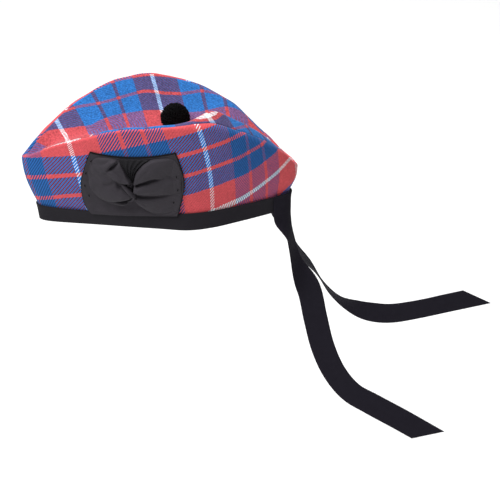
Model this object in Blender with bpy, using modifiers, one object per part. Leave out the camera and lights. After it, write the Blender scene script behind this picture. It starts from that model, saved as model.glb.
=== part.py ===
# Glengarry: a folding wool cap with a ribbon-bound rim, a cockade and bow, a toorie and two ribbon tails.
# The front tip points to -X, the wearer's left side faces -Y, and the rim's lower edge lies at z = 0.

import math

import bmesh
import bpy
import numpy as np

# Sizes of the cap, in metres. Its two tips reach past the rim, which is centred on the origin.
RIM_LENGTH = 0.272
RIM_WIDTH = 0.094
RIM_FRONT = -RIM_LENGTH / 2
RIM_BACK = RIM_LENGTH / 2
FRONT_OVERHANG = 0.016
BACK_OVERHANG = 0.010
CAP_FRONT = RIM_FRONT - FRONT_OVERHANG
CAP_LENGTH = RIM_BACK + BACK_OVERHANG - CAP_FRONT
CAP_WIDTH = 0.129
CAP_HEIGHT = 0.143
WAIST_OVERHANG = 0.005
CLOTH = 0.0016
GAP = 0.0003

# How far each fold is rounded, and how much the cloth bows between the folds.
WAIST_ROUNDING = 0.010
WALL_ROUNDING = 0.035
FOLD_ROUNDING = 0.005
SAG_ROUNDING = 0.015
VALLEY_ROUNDING = 0.016
VALLEY_SHORTENING = 0.016
WALL_BULGE = 0.004
CROWN_SAG = 0.002
# A rounding takes at most this share of the stretch to the next fold, and an inset of the way inwards.
ROUNDING_SHARE = 0.45
INSET_SHARE = 0.4

# The ribbon binding round the rim.
BAND_HEIGHT = 0.0195
BAND_INSIDE_HEIGHT = 0.0115
BAND_CLOTH = 0.0012
BAND_CORNER = 0.0008
BAND_GAP = 0.0005

# The cockade on the left wall, and the bow on it.
COCKADE_WIDTH = 0.109
COCKADE_HEIGHT = 0.080
COCKADE_CENTRE = -0.0356
COCKADE_FOOT = 0.0168
COCKADE_CLOTH = 0.0018
COCKADE_STAND = 0.0005
COCKADE_CLEAR = 0.001
COCKADE_BLEND = 0.011
COCKADE_DIP = 0.0044
COCKADE_RISE = 0.0024
BOW_STAND = 0.0005
BOW_EDGE = 0.0012
BOW_FULL = 0.0042
KNOT_FULL = 0.0056

# The toorie, and how far its locks stand out of its core.
TOORIE_RADIUS = 0.0160
TOORIE_PLACE = 0.0133
TOORIE_LOCKS = 60
TOORIE_LOCK_DEPTH = 0.0022

# The two ribbon tails.
RIBBON_WIDTH = 0.0275
RIBBON_CLOTH = 0.0009
TAIL_LENGTH = 0.360
TAIL_SLANT = 0.028
TAIL_TOP = 0.0205
TAIL_GAP = 0.0005
TAIL_BLEND = 0.030
# Places across a tail, from its outer edge to the edge at the middle of the back, where it bends most.
TAIL_ACROSS = (-0.5, -0.22, 0.04, 0.22, 0.34, 0.43, 0.5)
# The part of a tail's length over which its rows turn from square to the slant of its cut end.
SLANT_START = 0.56
SLANT_END = 0.96

# How finely the pieces are divided.
STATIONS = 30
WALL_STATIONS = 181
COCKADE_STEPS = (9, 12)
TAIL_STEPS = 26
TAIL_CROWDING = 1.4
LINE_STEPS = 400
# How far apart two readings lie that give the slope of the wall, in metres, or of a tail, in rows.
WALL_STEP = 0.003
ROW_STEP = 0.05

# Folds from the front tip to the back tip. "along" is a share of the length, "rim" and "waist" of the
# rim's half width, "crease" and "inset" of the cap's half width, and the rest of the cap's height.
SECTION_COLUMNS = (
    "along", "rim", "waist", "crease", "left", "inset", "lift", "right", "valley",
)
SECTIONS = (
    (0.000, 0.000, 0.000, 0.000, 0.528, 0.100, 0.015, 0.528, 0.535),
    (0.012, 0.115, 0.120, 0.100, 0.540, 0.085, 0.013, 0.546, 0.545),
    (0.050, 0.215, 0.250, 0.225, 0.586, 0.085, 0.012, 0.621, 0.585),
    (0.120, 0.325, 0.410, 0.420, 0.674, 0.085, 0.011, 0.731, 0.650),
    (0.220, 0.470, 0.580, 0.660, 0.764, 0.085, 0.011, 0.857, 0.670),
    (0.340, 0.655, 0.735, 0.870, 0.857, 0.088, 0.012, 0.944, 0.630),
    (0.470, 0.850, 0.845, 0.985, 0.882, 0.095, 0.014, 0.974, 0.630),
    (0.580, 1.000, 0.910, 1.000, 0.890, 0.120, 0.022, 0.921, 0.640),
    (0.680, 0.915, 0.830, 0.930, 0.862, 0.290, 0.090, 0.847, 0.610),
    (0.780, 0.690, 0.640, 0.755, 0.757, 0.270, 0.092, 0.746, 0.545),
    (0.870, 0.465, 0.435, 0.535, 0.638, 0.180, 0.065, 0.577, 0.480),
    (0.945, 0.260, 0.245, 0.285, 0.508, 0.110, 0.024, 0.447, 0.420),
    (0.988, 0.115, 0.115, 0.112, 0.402, 0.100, 0.015, 0.393, 0.375),
    (1.000, 0.000, 0.000, 0.000, 0.364, 0.100, 0.015, 0.364, 0.366),
)
WIDTH_COLUMNS = ("rim", "waist", "crease")

# The cockade's outline from its foot to its top, as shares of its height and of its half width.
COCKADE_COLUMNS = ("height", "front", "back")
COCKADE_ROWS = (
    (0.00, 0.815, 0.860),
    (0.14, 0.945, 0.915),
    (0.30, 0.990, 0.960),
    (0.50, 1.000, 0.995),
    (0.72, 0.925, 0.955),
    (1.00, 0.790, 0.830),
)

# Each bow piece from the knot outwards: place along the cockade's width, then its lower and upper edge
# as shares of the cockade's height.
BOW_COLUMNS = ("place", "low", "high")
FRONT_WING = (
    (-0.037, 0.31, 0.62),
    (-0.085, 0.23, 0.72),
    (-0.140, 0.18, 0.85),
    (-0.200, 0.20, 0.81),
    (-0.260, 0.24, 0.72),
    (-0.310, 0.29, 0.61),
    (-0.340, 0.35, 0.52),
)
BACK_WING = (
    (0.052, 0.32, 0.62),
    (0.080, 0.25, 0.82),
    (0.120, 0.16, 0.92),
    (0.180, 0.10, 0.94),
    (0.270, 0.09, 0.95),
    (0.350, 0.12, 0.96),
    (0.400, 0.20, 0.93),
    (0.425, 0.32, 0.84),
)
KNOT = (
    (-0.031, 0.42, 0.53),
    (-0.015, 0.34, 0.61),
    (0.008, 0.32, 0.63),
    (0.030, 0.35, 0.60),
    (0.046, 0.44, 0.52),
)

# The ribbon tails' middle lines, as shares of the tail's length: out past the rim's back end, drop
# below the rim, near towards the wearer's left, then the ribbon's turn in degrees.
TAIL_COLUMNS = ("out", "drop", "near", "turn")
TAIL_LEFT = (
    (-0.026, -0.057, 0.026, 33),
    (-0.022, 0.009, 0.027, 38),
    (-0.008, 0.052, 0.034, 57),
    (0.006, 0.100, 0.037, 70),
    (0.027, 0.190, 0.037, 52),
    (0.060, 0.278, 0.039, 16),
    (0.084, 0.378, 0.044, 4),
    (0.111, 0.483, 0.053, -4),
    (0.149, 0.574, 0.064, -6),
    (0.202, 0.643, 0.078, -2),
    (0.270, 0.686, 0.092, 4),
    (0.362, 0.739, 0.111, 6),
    (0.455, 0.798, 0.125, 4),
)
TAIL_RIGHT = (
    (-0.026, -0.057, -0.026, -33),
    (-0.021, 0.020, -0.028, -38),
    (-0.006, 0.080, -0.036, -58),
    (0.019, 0.134, -0.041, -68),
    (0.059, 0.207, -0.043, -68),
    (0.113, 0.286, -0.042, -70),
    (0.182, 0.360, -0.038, -68),
    (0.234, 0.394, -0.034, -46),
    (0.280, 0.407, -0.028, -24),
    (0.344, 0.411, -0.018, -14),
    (0.432, 0.392, -0.005, -10),
    (0.512, 0.368, 0.006, -8),
    (0.612, 0.347, 0.018, -8),
)

# The wing's folds: how many pleats fan out, and how much of the wing's fullness a groove takes away.
FRONT_PLEATS = 2
BACK_PLEATS = 3
PLEAT_SHARE = 0.45
# A bow piece swells as half a wave along its length, from this share of the wave to this one.
SWELL_START = 0.12
SWELL_END = 0.95

MATERIALS = (
    ("wool_left", (0.30, 0.16, 0.28), 0.9),
    ("wool_right", (0.31, 0.16, 0.28), 0.9),
    ("wool_crown", (0.29, 0.17, 0.30), 0.9),
    ("ribbon_band", (0.020, 0.018, 0.024), 0.6),
    ("felt_cockade", (0.045, 0.043, 0.048), 0.95),
    ("ribbon_bow", (0.040, 0.038, 0.044), 0.6),
    ("yarn_toorie", (0.004, 0.004, 0.004), 1.0),
    ("ribbon_tail", (0.018, 0.017, 0.024), 0.6),
)


def unit(vector):
    """The same direction at length one."""
    return vector / max(np.linalg.norm(vector), 1e-12)


def smooth_step(x):
    """0 below 0, 1 above 1 and an even curve between."""
    x = np.clip(x, 0.0, 1.0)
    return x * x * (3.0 - 2.0 * x)


def curve(values, place, mirror=0):
    """A smooth curve through evenly spaced values. Past an end it reflects, with the sign of mirror,
    or carries straight on when mirror is 0."""
    last = len(values) - 1

    def value(i):
        if 0 <= i <= last:
            return values[i]
        end = 0 if i < 0 else last
        if mirror == 0:
            return 2 * values[end] - values[2 * end - i]
        return mirror * values[2 * end - i]

    i = min(int(place), last - 1)
    u = place - i
    before, start, stop, after = value(i - 1), value(i), value(i + 1), value(i + 2)
    slope = stop - before
    bend = 2 * before - 5 * start + 4 * stop - after
    rest = 3 * start - before - 3 * stop + after
    return 0.5 * (2 * start + slope * u + bend * u**2 + rest * u**3)


def column(rows, columns, name):
    """One column of a table."""
    at = columns.index(name)
    return [row[at] for row in rows]


def read(rows, columns, name, place, mirror=0):
    """One column of a table at a place between its rows."""
    return curve(column(rows, columns, name), place, mirror)


def section_value(name, place):
    """A column of the cap's table: widths cross the middle plane, the rest reflects in it."""
    return read(SECTIONS, SECTION_COLUMNS, name, place, -1 if name in WIDTH_COLUMNS else 1)


def fold_points(place, side):
    """The corners of one cross-section, from the rim up the wall, over the ridge and into the valley."""
    along = section_value("along", place)
    half_rim = side * RIM_WIDTH / 2
    half_cap = side * CAP_WIDTH / 2
    rim = np.array([RIM_FRONT + along * RIM_LENGTH, half_rim * section_value("rim", place), 0.0])
    waist_x = RIM_FRONT - WAIST_OVERHANG + along * (RIM_LENGTH + WAIST_OVERHANG)
    waist = np.array([waist_x, half_rim * section_value("waist", place), BAND_HEIGHT])
    ridge = CAP_HEIGHT * section_value("left" if side < 0 else "right", place)
    crease_x = CAP_FRONT + along * CAP_LENGTH
    crease = np.array([crease_x, half_cap * section_value("crease", place), ridge])
    valley_x = CAP_FRONT + VALLEY_SHORTENING + along * (CAP_LENGTH - 2 * VALLEY_SHORTENING)
    valley = np.array([valley_x, 0.0, CAP_HEIGHT * section_value("valley", place)])
    inward = (valley - crease) * (1, 1, 0)
    inset = CAP_WIDTH / 2 * section_value("inset", place if side < 0 else 0)
    inset = min(inset, INSET_SHARE * np.linalg.norm(inward))
    lift = CAP_HEIGHT * section_value("lift", place if side < 0 else 0)
    roll = crease + unit(inward) * inset + np.array([0, 0, lift])
    wall = (waist + crease) / 2 - unit(inward) * WALL_BULGE
    sag = (roll + valley) / 2 - np.array([0, 0, CROWN_SAG])
    return [rim, waist, wall, crease, roll, sag, valley]


# For each corner: how far it is rounded, into how many steps, and the steps of the straight before it.
ROUNDINGS = (
    (0, 0, 0),
    (WAIST_ROUNDING, 2, 2),
    (WALL_ROUNDING, 3, 1),
    (FOLD_ROUNDING, 4, 1),
    (FOLD_ROUNDING, 4, 1),
    (SAG_ROUNDING, 2, 1),
    (VALLEY_ROUNDING, 2, 1),
)
CREASE_CORNER = 3
ROLL_CORNER = 4


def corner_middle(corner):
    """Where the middle of a corner's rounding lies in the list of a section's points."""
    steps = sum(round_steps + straight for _, round_steps, straight in ROUNDINGS[:corner])
    return steps + ROUNDINGS[corner][2] + ROUNDINGS[corner][1] // 2


def section(place, side):
    """One cross-section as points, with its corners rounded."""
    corners = fold_points(place, side)
    corners.append(fold_points(place, -side)[-2])
    lengths = [np.linalg.norm(b - a) for a, b in zip(corners, corners[1:])]
    points = [corners[0]]
    start = corners[0]
    for i in range(1, len(corners) - 1):
        rounding, steps, straight = ROUNDINGS[i]
        reach = min(rounding, ROUNDING_SHARE * min(lengths[i - 1], lengths[i]))
        enter = corners[i] + unit(corners[i - 1] - corners[i]) * reach
        leave = corners[i] + unit(corners[i + 1] - corners[i]) * reach
        for step in range(1, straight + 1):
            points.append(start + (enter - start) * step / straight)
        span = 0.5 if i == len(corners) - 2 else 1.0
        for step in range(1, steps + 1):
            u = span * step / steps
            points.append(enter * (1 - u) ** 2 + corners[i] * 2 * u * (1 - u) + leave * u * u)
        start = leave
    points[-1] = points[-1] * (1, 0, 1)
    return points


def cap_surface(stations):
    """The cap's outside as points[side][station][place], with side 0 the wearer's left."""
    places = np.linspace(0, len(SECTIONS) - 1, stations)
    points = np.array([[section(place, side) for place in places] for side in (-1, 1)])
    for end in (0, stations - 1):
        points[:, end, :, 1] = 0.0
        points[1, end] = points[0, end]
    points[1, :, -1] = points[0, :, -1]
    return points


def cap_numbers(points):
    """A number for each point, shared where the two halves meet."""
    numbers = np.arange(points.shape[0] * points.shape[1] * points.shape[2]).reshape(points.shape[:3])
    numbers[1, 0] = numbers[0, 0]
    numbers[1, -1] = numbers[0, -1]
    numbers[1, :, -1] = numbers[0, :, -1]
    return numbers


def cap_faces(numbers, side, first, last):
    """Four-sided faces of one half between two places of the section."""
    faces = []
    for i in range(numbers.shape[1] - 1):
        for j in range(first, last):
            face = [numbers[side, i, j], numbers[side, i + 1, j],
                    numbers[side, i + 1, j + 1], numbers[side, i, j + 1]]
            face = list(dict.fromkeys(face))
            faces.append(face if side == 0 else face[::-1])
    return faces


def point_normals(points, faces):
    """The mean direction of the faces round each point."""
    normals = np.zeros_like(points)
    for face in faces:
        corners = points[face]
        cross = np.zeros(3)
        for a, b in zip(corners[1:], corners[2:]):
            cross += np.cross(a - corners[0], b - corners[0])
        normals[face] += unit(cross)
    return normals / np.maximum(np.linalg.norm(normals, axis=1), 1e-12)[:, None]


def new_object(name, vertices, faces, material):
    """A mesh object in the cap's collection, facing outwards, with its own material."""
    mesh = bpy.data.meshes.new(name)
    mesh.from_pydata([tuple(v) for v in vertices], [], [list(map(int, f)) for f in faces])
    edit = bmesh.new()
    edit.from_mesh(mesh)
    loose = [v for v in edit.verts if not v.link_faces]
    bmesh.ops.delete(edit, geom=loose, context="VERTS")
    if all(edge.is_manifold for edge in edit.edges):
        bmesh.ops.recalc_face_normals(edit, faces=edit.faces)
    edit.to_mesh(mesh)
    edit.free()
    mesh.polygons.foreach_set("use_smooth", [True] * len(mesh.polygons))
    mesh.materials.append(bpy.data.materials[material])
    item = bpy.data.objects.new(name, mesh)
    bpy.data.collections["glengarry"].objects.link(item)
    return item


def shell(name, outside, inside, faces, material):
    """A closed sheet: the outside faces, the same faces turned over inside, and walls at every open edge."""
    count = len(outside)
    edges = {}
    for face in faces:
        for a, b in zip(face, face[1:] + face[:1]):
            edges.setdefault(frozenset((a, b)), []).append((a, b))
    solid = list(faces) + [[v + count for v in face[::-1]] for face in faces]
    for uses in edges.values():
        if len(uses) == 1:
            a, b = uses[0]
            solid.append([b, a, a + count, b + count])
    return new_object(name, np.concatenate([outside, inside]), solid, material)


def grid_faces(rows, columns, ring=False):
    """Faces of a grid of points numbered row by row; a ring closes it along and across."""
    faces = []
    for i in range(rows if ring else rows - 1):
        after = (i + 1) % rows
        for j in range(columns if ring else columns - 1):
            k = (j + 1) % columns
            faces.append([i * columns + j, after * columns + j, after * columns + k, i * columns + k])
    return faces


def pad(name, outside, inside, material):
    """A closed pad between two grids of points."""
    rows, columns = outside.shape[:2]
    return shell(name, outside.reshape(-1, 3), inside.reshape(-1, 3), grid_faces(rows, columns), material)


def sheet(name, grid, thickness, offset, material):
    """An open grid of points thickened to a sheet; offset 0 thickens it to both sides."""
    rows, columns = grid.shape[:2]
    item = new_object(name, grid.reshape(-1, 3), grid_faces(rows, columns), material)
    thicken = item.modifiers.new("thickness", "SOLIDIFY")
    thicken.thickness = thickness
    thicken.offset = offset
    thicken.use_even_offset = True
    return item


def add_panels(points):
    """The two side panels and the crown, cut from one surface along the seams."""
    numbers = cap_numbers(points)
    last = points.shape[2] - 1
    seams = (corner_middle(CREASE_CORNER), corner_middle(ROLL_CORNER))
    flat = points.reshape(-1, 3)
    everything = cap_faces(numbers, 0, 0, last) + cap_faces(numbers, 1, 0, last)
    normals = point_normals(flat, everything)
    inside = flat - normals * CLOTH
    crown_outside, crown_inside = flat.copy(), inside.copy()
    for side, name in enumerate(("left", "right")):
        seam = seams[side]
        outer, inner = flat.copy(), inside.copy()
        for i in range(points.shape[1]):
            here = numbers[side, i, seam]
            back = unit(flat[numbers[side, i, seam - 1]] - flat[here]) * GAP / 2
            outer[here] += back
            inner[here] += back
            crown_outside[here] = flat[here] - back
            crown_inside[here] = inside[here] - back
            foot = numbers[side, i, 0]
            up = unit(flat[numbers[side, i, 1]] - flat[foot]) * (BAND_CLOTH + BAND_GAP)
            outer[foot] += up
            inner[foot] = outer[foot] - unit(normals[foot] * (1, 1, 0)) * CLOTH
        sign = -1 if side == 0 else 1
        for layer in (outer, inner):
            layer[:, 1] = sign * np.maximum(sign * layer[:, 1], GAP / 2)
        shell("side_" + name, outer, inner, cap_faces(numbers, side, 0, seam), "wool_" + name)
    faces = cap_faces(numbers, 0, seams[0], last) + cap_faces(numbers, 1, seams[1], last)
    shell("crown", crown_outside, crown_inside, faces, "wool_crown")


def ring_at(points, height):
    """The wall's outline at a height, once round from the front tip, and its outward directions."""
    level = []
    top = corner_middle(CREASE_CORNER) - 2
    stations = points.shape[1]
    for side, order in ((0, range(stations)), (1, range(stations - 2, 0, -1))):
        for i in order:
            line = points[side, i, :top]
            level.append([np.interp(height, line[:, 2], line[:, k]) for k in (0, 1)])
    level = np.array(level)
    ahead = np.roll(level, -1, axis=0) - np.roll(level, 1, axis=0)
    outward = np.stack([ahead[:, 1], -ahead[:, 0]], axis=1)
    return level, outward / np.linalg.norm(outward, axis=1)[:, None]


def add_band(points):
    """The ribbon folded round the rim: a long outer leg and a short inner one."""
    outer = -(BAND_GAP + BAND_CLOTH)
    inner = CLOTH + BAND_GAP
    profile = (
        (BAND_HEIGHT, -BAND_GAP),
        (BAND_HEIGHT, outer),
        (BAND_HEIGHT * 0.72, outer),
        (BAND_HEIGHT * 0.42, outer),
        (BAND_CORNER, outer),
        (0.0, outer + BAND_CORNER),
        (0.0, inner + BAND_CLOTH - BAND_CORNER),
        (BAND_CORNER, inner + BAND_CLOTH),
        (BAND_INSIDE_HEIGHT, inner + BAND_CLOTH),
        (BAND_INSIDE_HEIGHT, inner),
        (BAND_CLOTH, inner),
        (BAND_CLOTH, -BAND_GAP),
        (BAND_HEIGHT * 0.42, -BAND_GAP),
        (BAND_HEIGHT * 0.72, -BAND_GAP),
    )
    rows = []
    for height, depth in profile:
        level, outward = ring_at(points, height)
        placed = level - outward * depth
        rows.append(np.column_stack([placed, np.full(len(placed), height)]))
    around = np.stack(rows, axis=1)
    faces = grid_faces(*around.shape[:2], ring=True)
    return new_object("band", around.reshape(-1, 3), faces, "ribbon_band")


def wall_depth(points, x, z):
    """The left wall's y at an x and a height."""
    top = corner_middle(CREASE_CORNER) - 1
    xs = [np.interp(z, line[:top, 2], line[:top, 0]) for line in points[0]]
    ys = [np.interp(z, line[:top, 2], line[:top, 1]) for line in points[0]]
    return np.interp(x, xs, ys)


def on_wall(points, x, z, stand):
    """A point that stands off the left wall by a distance along the wall's own direction."""
    step = WALL_STEP
    slope_x = (wall_depth(points, x + step, z) - wall_depth(points, x - step, z)) / (2 * step)
    slope_z = (wall_depth(points, x, z + step) - wall_depth(points, x, z - step)) / (2 * step)
    outward = unit(np.array([slope_x, -1.0, slope_z]))
    return np.array([x, wall_depth(points, x, z), z]) + outward * stand


def cockade_stand(height):
    """The cockade's distance off the wall: it lies over the band at its foot and on the wool above."""
    over_band = BAND_GAP + BAND_CLOTH + COCKADE_STAND
    rise = smooth_step((height - BAND_HEIGHT - COCKADE_CLEAR) / COCKADE_BLEND)
    return over_band + (COCKADE_STAND - over_band) * rise


def cockade_height(across, up):
    """A height on the cockade; its top edge dips in the middle and rises towards the back."""
    dip = COCKADE_DIP * (1 - (2 * across - 1) ** 2)
    rise = COCKADE_RISE * across
    return COCKADE_FOOT + COCKADE_HEIGHT * up - up * up * (dip - rise)


def add_cockade(wall):
    """The stiff barrel-shaped patch."""
    half = COCKADE_WIDTH / 2
    heights = column(COCKADE_ROWS, COCKADE_COLUMNS, "height")
    grid = []
    for up in np.linspace(0, 1, COCKADE_STEPS[0]):
        front = COCKADE_CENTRE - half * np.interp(up, heights, column(COCKADE_ROWS, COCKADE_COLUMNS, "front"))
        back = COCKADE_CENTRE + half * np.interp(up, heights, column(COCKADE_ROWS, COCKADE_COLUMNS, "back"))
        row = []
        for across in np.linspace(0, 1, COCKADE_STEPS[1]):
            z = cockade_height(across, up)
            row.append(on_wall(wall, front + (back - front) * across, z, cockade_stand(z)))
        grid.append(row[::-1])
    sheet("cockade", np.array(grid), COCKADE_CLOTH, 1.0, "felt_cockade")


def add_bow_piece(wall, name, rows, full, pleats, around, across):
    """A padded piece of folded ribbon on the cockade, pleated in lines that leave the knot."""
    outside, inside = [], []
    for i in range(around):
        place = (len(rows) - 1) * i / (around - 1)
        x = COCKADE_CENTRE + COCKADE_WIDTH * read(rows, BOW_COLUMNS, "place", place)
        low = read(rows, BOW_COLUMNS, "low", place)
        high = read(rows, BOW_COLUMNS, "high", place)
        outer_row, inner_row = [], []
        for k in range(across):
            v = k / (across - 1)
            z = COCKADE_FOOT + COCKADE_HEIGHT * (low + (high - low) * v)
            swell = SWELL_START + (SWELL_END - SWELL_START) * i / (around - 1)
            body = math.sqrt(math.sin(math.pi * v) * math.sin(math.pi * swell))
            groove = PLEAT_SHARE * (0.5 + 0.5 * math.cos(2 * math.pi * pleats * v)) if pleats else 0.0
            thick = BOW_EDGE + (full - BOW_EDGE) * body * (1 - groove)
            stand = cockade_stand(z) + COCKADE_CLOTH + BOW_STAND
            outer_row.append(on_wall(wall, x, z, stand + thick))
            inner_row.append(on_wall(wall, x, z, stand))
        outside.append(outer_row)
        inside.append(inner_row)
    pad(name, np.array(outside), np.array(inside), "ribbon_bow")


def lock_directions(count):
    """Directions spread evenly over a ball."""
    turn = math.pi * (3 - math.sqrt(5))
    heights = [1 - (2 * k + 1) / count for k in range(count)]
    return np.array([
        (math.sqrt(1 - h * h) * math.cos(turn * k), math.sqrt(1 - h * h) * math.sin(turn * k), h)
        for k, h in enumerate(heights)
    ])


def toorie_centre(points):
    """The toorie's middle when it rests in the valley."""
    crown = points.reshape(-1, 3)
    away = crown[:, :2] - np.array([TOORIE_PLACE, 0.0])
    under = (away**2).sum(axis=1) < TOORIE_RADIUS**2
    reach = np.sqrt(TOORIE_RADIUS**2 - (away[under] ** 2).sum(axis=1))
    return np.array([TOORIE_PLACE, 0.0, (crown[under, 2] + reach).max() + GAP])


def add_toorie(points):
    """The pompom: a core with rounded locks that stand out of it."""
    edit = bmesh.new()
    bmesh.ops.create_icosphere(edit, subdivisions=4, radius=1.0)
    locks = lock_directions(TOORIE_LOCKS)
    centre = toorie_centre(points)
    lock_reach = 2 / math.sqrt(TOORIE_LOCKS)
    for vertex in edit.verts:
        direction = unit(np.array(vertex.co))
        nearness = np.clip((locks @ direction).max(), 0, 1)
        spread = math.acos(nearness) / lock_reach
        bump = math.cos(min(spread, 1.0) * math.pi / 2)
        radius = TOORIE_RADIUS - TOORIE_LOCK_DEPTH * (1 - bump)
        vertex.co = centre + direction * radius
    vertices = [v.co.copy() for v in edit.verts]
    faces = [[v.index for v in f.verts] for f in edit.faces]
    edit.free()
    new_object("toorie", vertices, faces, "yarn_toorie")


def around_back(level, outward, side, distance, stand):
    """A point on the band's back end, a distance round from the middle towards one side."""
    count = len(level)
    middle = count // 2
    step = -1 if side < 0 else 1
    order = [(middle + step * i) % count for i in range(count // 4)]
    ring = level[order] + outward[order] * stand
    lengths = np.concatenate([[0], np.cumsum(np.linalg.norm(np.diff(ring, axis=0), axis=1))])
    return np.array([np.interp(distance, lengths, ring[:, k]) for k in (0, 1)])


def add_tail(points, name, rows, side):
    """A ribbon tail: it lies round the band's back end, then hangs on its own line."""
    stand = BAND_GAP + BAND_CLOTH + TAIL_GAP + RIBBON_CLOTH / 2
    last = len(rows) - 1

    def middle(place):
        out = read(rows, TAIL_COLUMNS, "out", place)
        drop = read(rows, TAIL_COLUMNS, "drop", place)
        near = read(rows, TAIL_COLUMNS, "near", place)
        return np.array([RIM_BACK, 0, 0]) + TAIL_LENGTH * np.array([out, -near, -drop])

    places = np.linspace(0, last, LINE_STEPS)
    line = np.array([middle(place) for place in places])
    lengths = np.concatenate([[0], np.cumsum(np.linalg.norm(np.diff(line, axis=0), axis=1))])
    grid = np.zeros((TAIL_STEPS, len(TAIL_ACROSS), 3))
    for i in range(TAIL_STEPS):
        share = (i / (TAIL_STEPS - 1)) ** TAIL_CROWDING
        for k, c in enumerate(TAIL_ACROSS):
            slanted = smooth_step((share - SLANT_START) / (SLANT_END - SLANT_START))
            slant = TAIL_SLANT * (c if side < 0 else -c) * slanted
            distance = lengths[-1] * share + slant
            place = np.interp(distance, lengths, places)
            beyond = max(0.0, distance - lengths[-1])
            here = middle(place)
            ahead = unit(middle(min(place + ROW_STEP, last)) - middle(max(place - ROW_STEP, 0)))
            turn = math.radians(read(rows, TAIL_COLUMNS, "turn", place))
            flat = unit(np.cross(ahead, np.array([0.0, 1.0, 0.0])))
            edge = unit(np.cross(flat, ahead))
            free = here + ahead * beyond + (flat * math.cos(turn) + edge * math.sin(turn)) * c * RIBBON_WIDTH
            height = TAIL_TOP - distance
            level, outward = ring_at(points, min(max(height, 0.0), BAND_HEIGHT))
            sewn = around_back(level, outward, side, GAP + RIBBON_WIDTH * (0.5 - c), stand)
            sewn = np.array([sewn[0], sewn[1], height])
            loose = smooth_step((distance - TAIL_TOP) / TAIL_BLEND)
            grid[i, k] = sewn * (1 - loose) + free * loose
    sheet(name, grid, RIBBON_CLOTH, 0.0, "ribbon_tail")


def add_materials():
    """One plain surface for each piece."""
    for name, colour, roughness in MATERIALS:
        material = bpy.data.materials.new(name)
        material.use_nodes = True
        surface = material.node_tree.nodes["Principled BSDF"]
        surface.inputs["Base Color"].default_value = (*colour, 1.0)
        surface.inputs["Roughness"].default_value = roughness
        surface.inputs["Metallic"].default_value = 0.0


def build():
    """Clears the file and makes every piece."""
    for item in list(bpy.data.objects):
        bpy.data.objects.remove(item, do_unlink=True)
    collection = bpy.data.collections.new("glengarry")
    bpy.context.scene.collection.children.link(collection)
    add_materials()
    points = cap_surface(STATIONS)
    wall = cap_surface(WALL_STATIONS)
    add_panels(points)
    add_band(points)
    add_cockade(wall)
    add_bow_piece(wall, "bow_front", FRONT_WING, BOW_FULL, FRONT_PLEATS, 8, 13)
    add_bow_piece(wall, "bow_back", BACK_WING, BOW_FULL, BACK_PLEATS, 8, 16)
    add_bow_piece(wall, "bow_knot", KNOT, KNOT_FULL, 0, 6, 8)
    add_toorie(wall)
    add_tail(points, "tail_left", TAIL_LEFT, -1)
    add_tail(points, "tail_right", TAIL_RIGHT, 1)


build()
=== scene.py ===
import math

import bmesh
import bpy
import numpy as np
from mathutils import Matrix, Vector, noise


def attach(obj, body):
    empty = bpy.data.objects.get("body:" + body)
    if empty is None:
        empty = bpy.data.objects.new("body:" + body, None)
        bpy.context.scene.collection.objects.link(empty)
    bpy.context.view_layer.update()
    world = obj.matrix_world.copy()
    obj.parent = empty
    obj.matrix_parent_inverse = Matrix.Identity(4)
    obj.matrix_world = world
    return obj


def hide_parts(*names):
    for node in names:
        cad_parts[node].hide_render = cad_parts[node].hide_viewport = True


# Glengarry: a folding cap of checked wool with a ribbon-bound rim, a cockade with a ribbon bow on its
# left side, a black toorie in the fold of its crown, and two ribbon tails at the back.
# Metres; the front tip points to -X, the wearer's left side faces -Y, the rim's lower edge is at z = 0.

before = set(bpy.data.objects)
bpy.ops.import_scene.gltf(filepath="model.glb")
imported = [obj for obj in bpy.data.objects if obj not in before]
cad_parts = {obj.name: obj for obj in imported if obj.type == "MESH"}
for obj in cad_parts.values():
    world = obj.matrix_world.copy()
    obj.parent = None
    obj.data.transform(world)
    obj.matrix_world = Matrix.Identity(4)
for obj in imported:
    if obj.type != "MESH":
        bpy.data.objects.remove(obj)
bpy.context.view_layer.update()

# Sizes of the cap, as they were cut.
RIM_LENGTH = 0.272
RIM_WIDTH = 0.094
RIM_FRONT = -RIM_LENGTH / 2
RIM_BACK = RIM_LENGTH / 2
FRONT_OVERHANG = 0.016
BACK_OVERHANG = 0.010
CAP_FRONT = RIM_FRONT - FRONT_OVERHANG
CAP_LENGTH = RIM_BACK + BACK_OVERHANG - CAP_FRONT
CAP_WIDTH = 0.129
CAP_HEIGHT = 0.143
WAIST_OVERHANG = 0.002
CLOTH = 0.0016
GAP = 0.0003
WAIST_ROUNDING = 0.010
WALL_ROUNDING = 0.035
FOLD_ROUNDING = 0.005
SAG_ROUNDING = 0.015
VALLEY_ROUNDING = 0.016
VALLEY_SHORTENING = 0.016
WALL_BULGE = 0.004
CROWN_SAG = 0.002
ROUNDING_SHARE = 0.45
INSET_SHARE = 0.4

# The ribbon binding.
BAND_HEIGHT = 0.0195
BAND_INSIDE_HEIGHT = 0.0115
BAND_CLOTH = 0.0012
BAND_GAP = 0.0005

# The cockade and the bow.
COCKADE_WIDTH = 0.109
COCKADE_HEIGHT = 0.080
COCKADE_CENTRE = -0.0356
COCKADE_FOOT = 0.0168
COCKADE_CLOTH = 0.0018
COCKADE_STAND = 0.0005
COCKADE_CLEAR = 0.001
COCKADE_BLEND = 0.011
COCKADE_DIP = 0.0044
COCKADE_RISE = 0.0024
BOW_STAND = 0.0005

# The toorie and the tails.
TOORIE_RADIUS = 0.0160
TOORIE_PLACE = 0.0133
RIBBON_WIDTH = 0.0275
RIBBON_CLOTH = 0.0009
TAIL_LENGTH = 0.360
TAIL_SLANT = 0.028
TAIL_TOP = 0.0205
TAIL_GAP = 0.0005
TAIL_BLEND = 0.030
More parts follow.
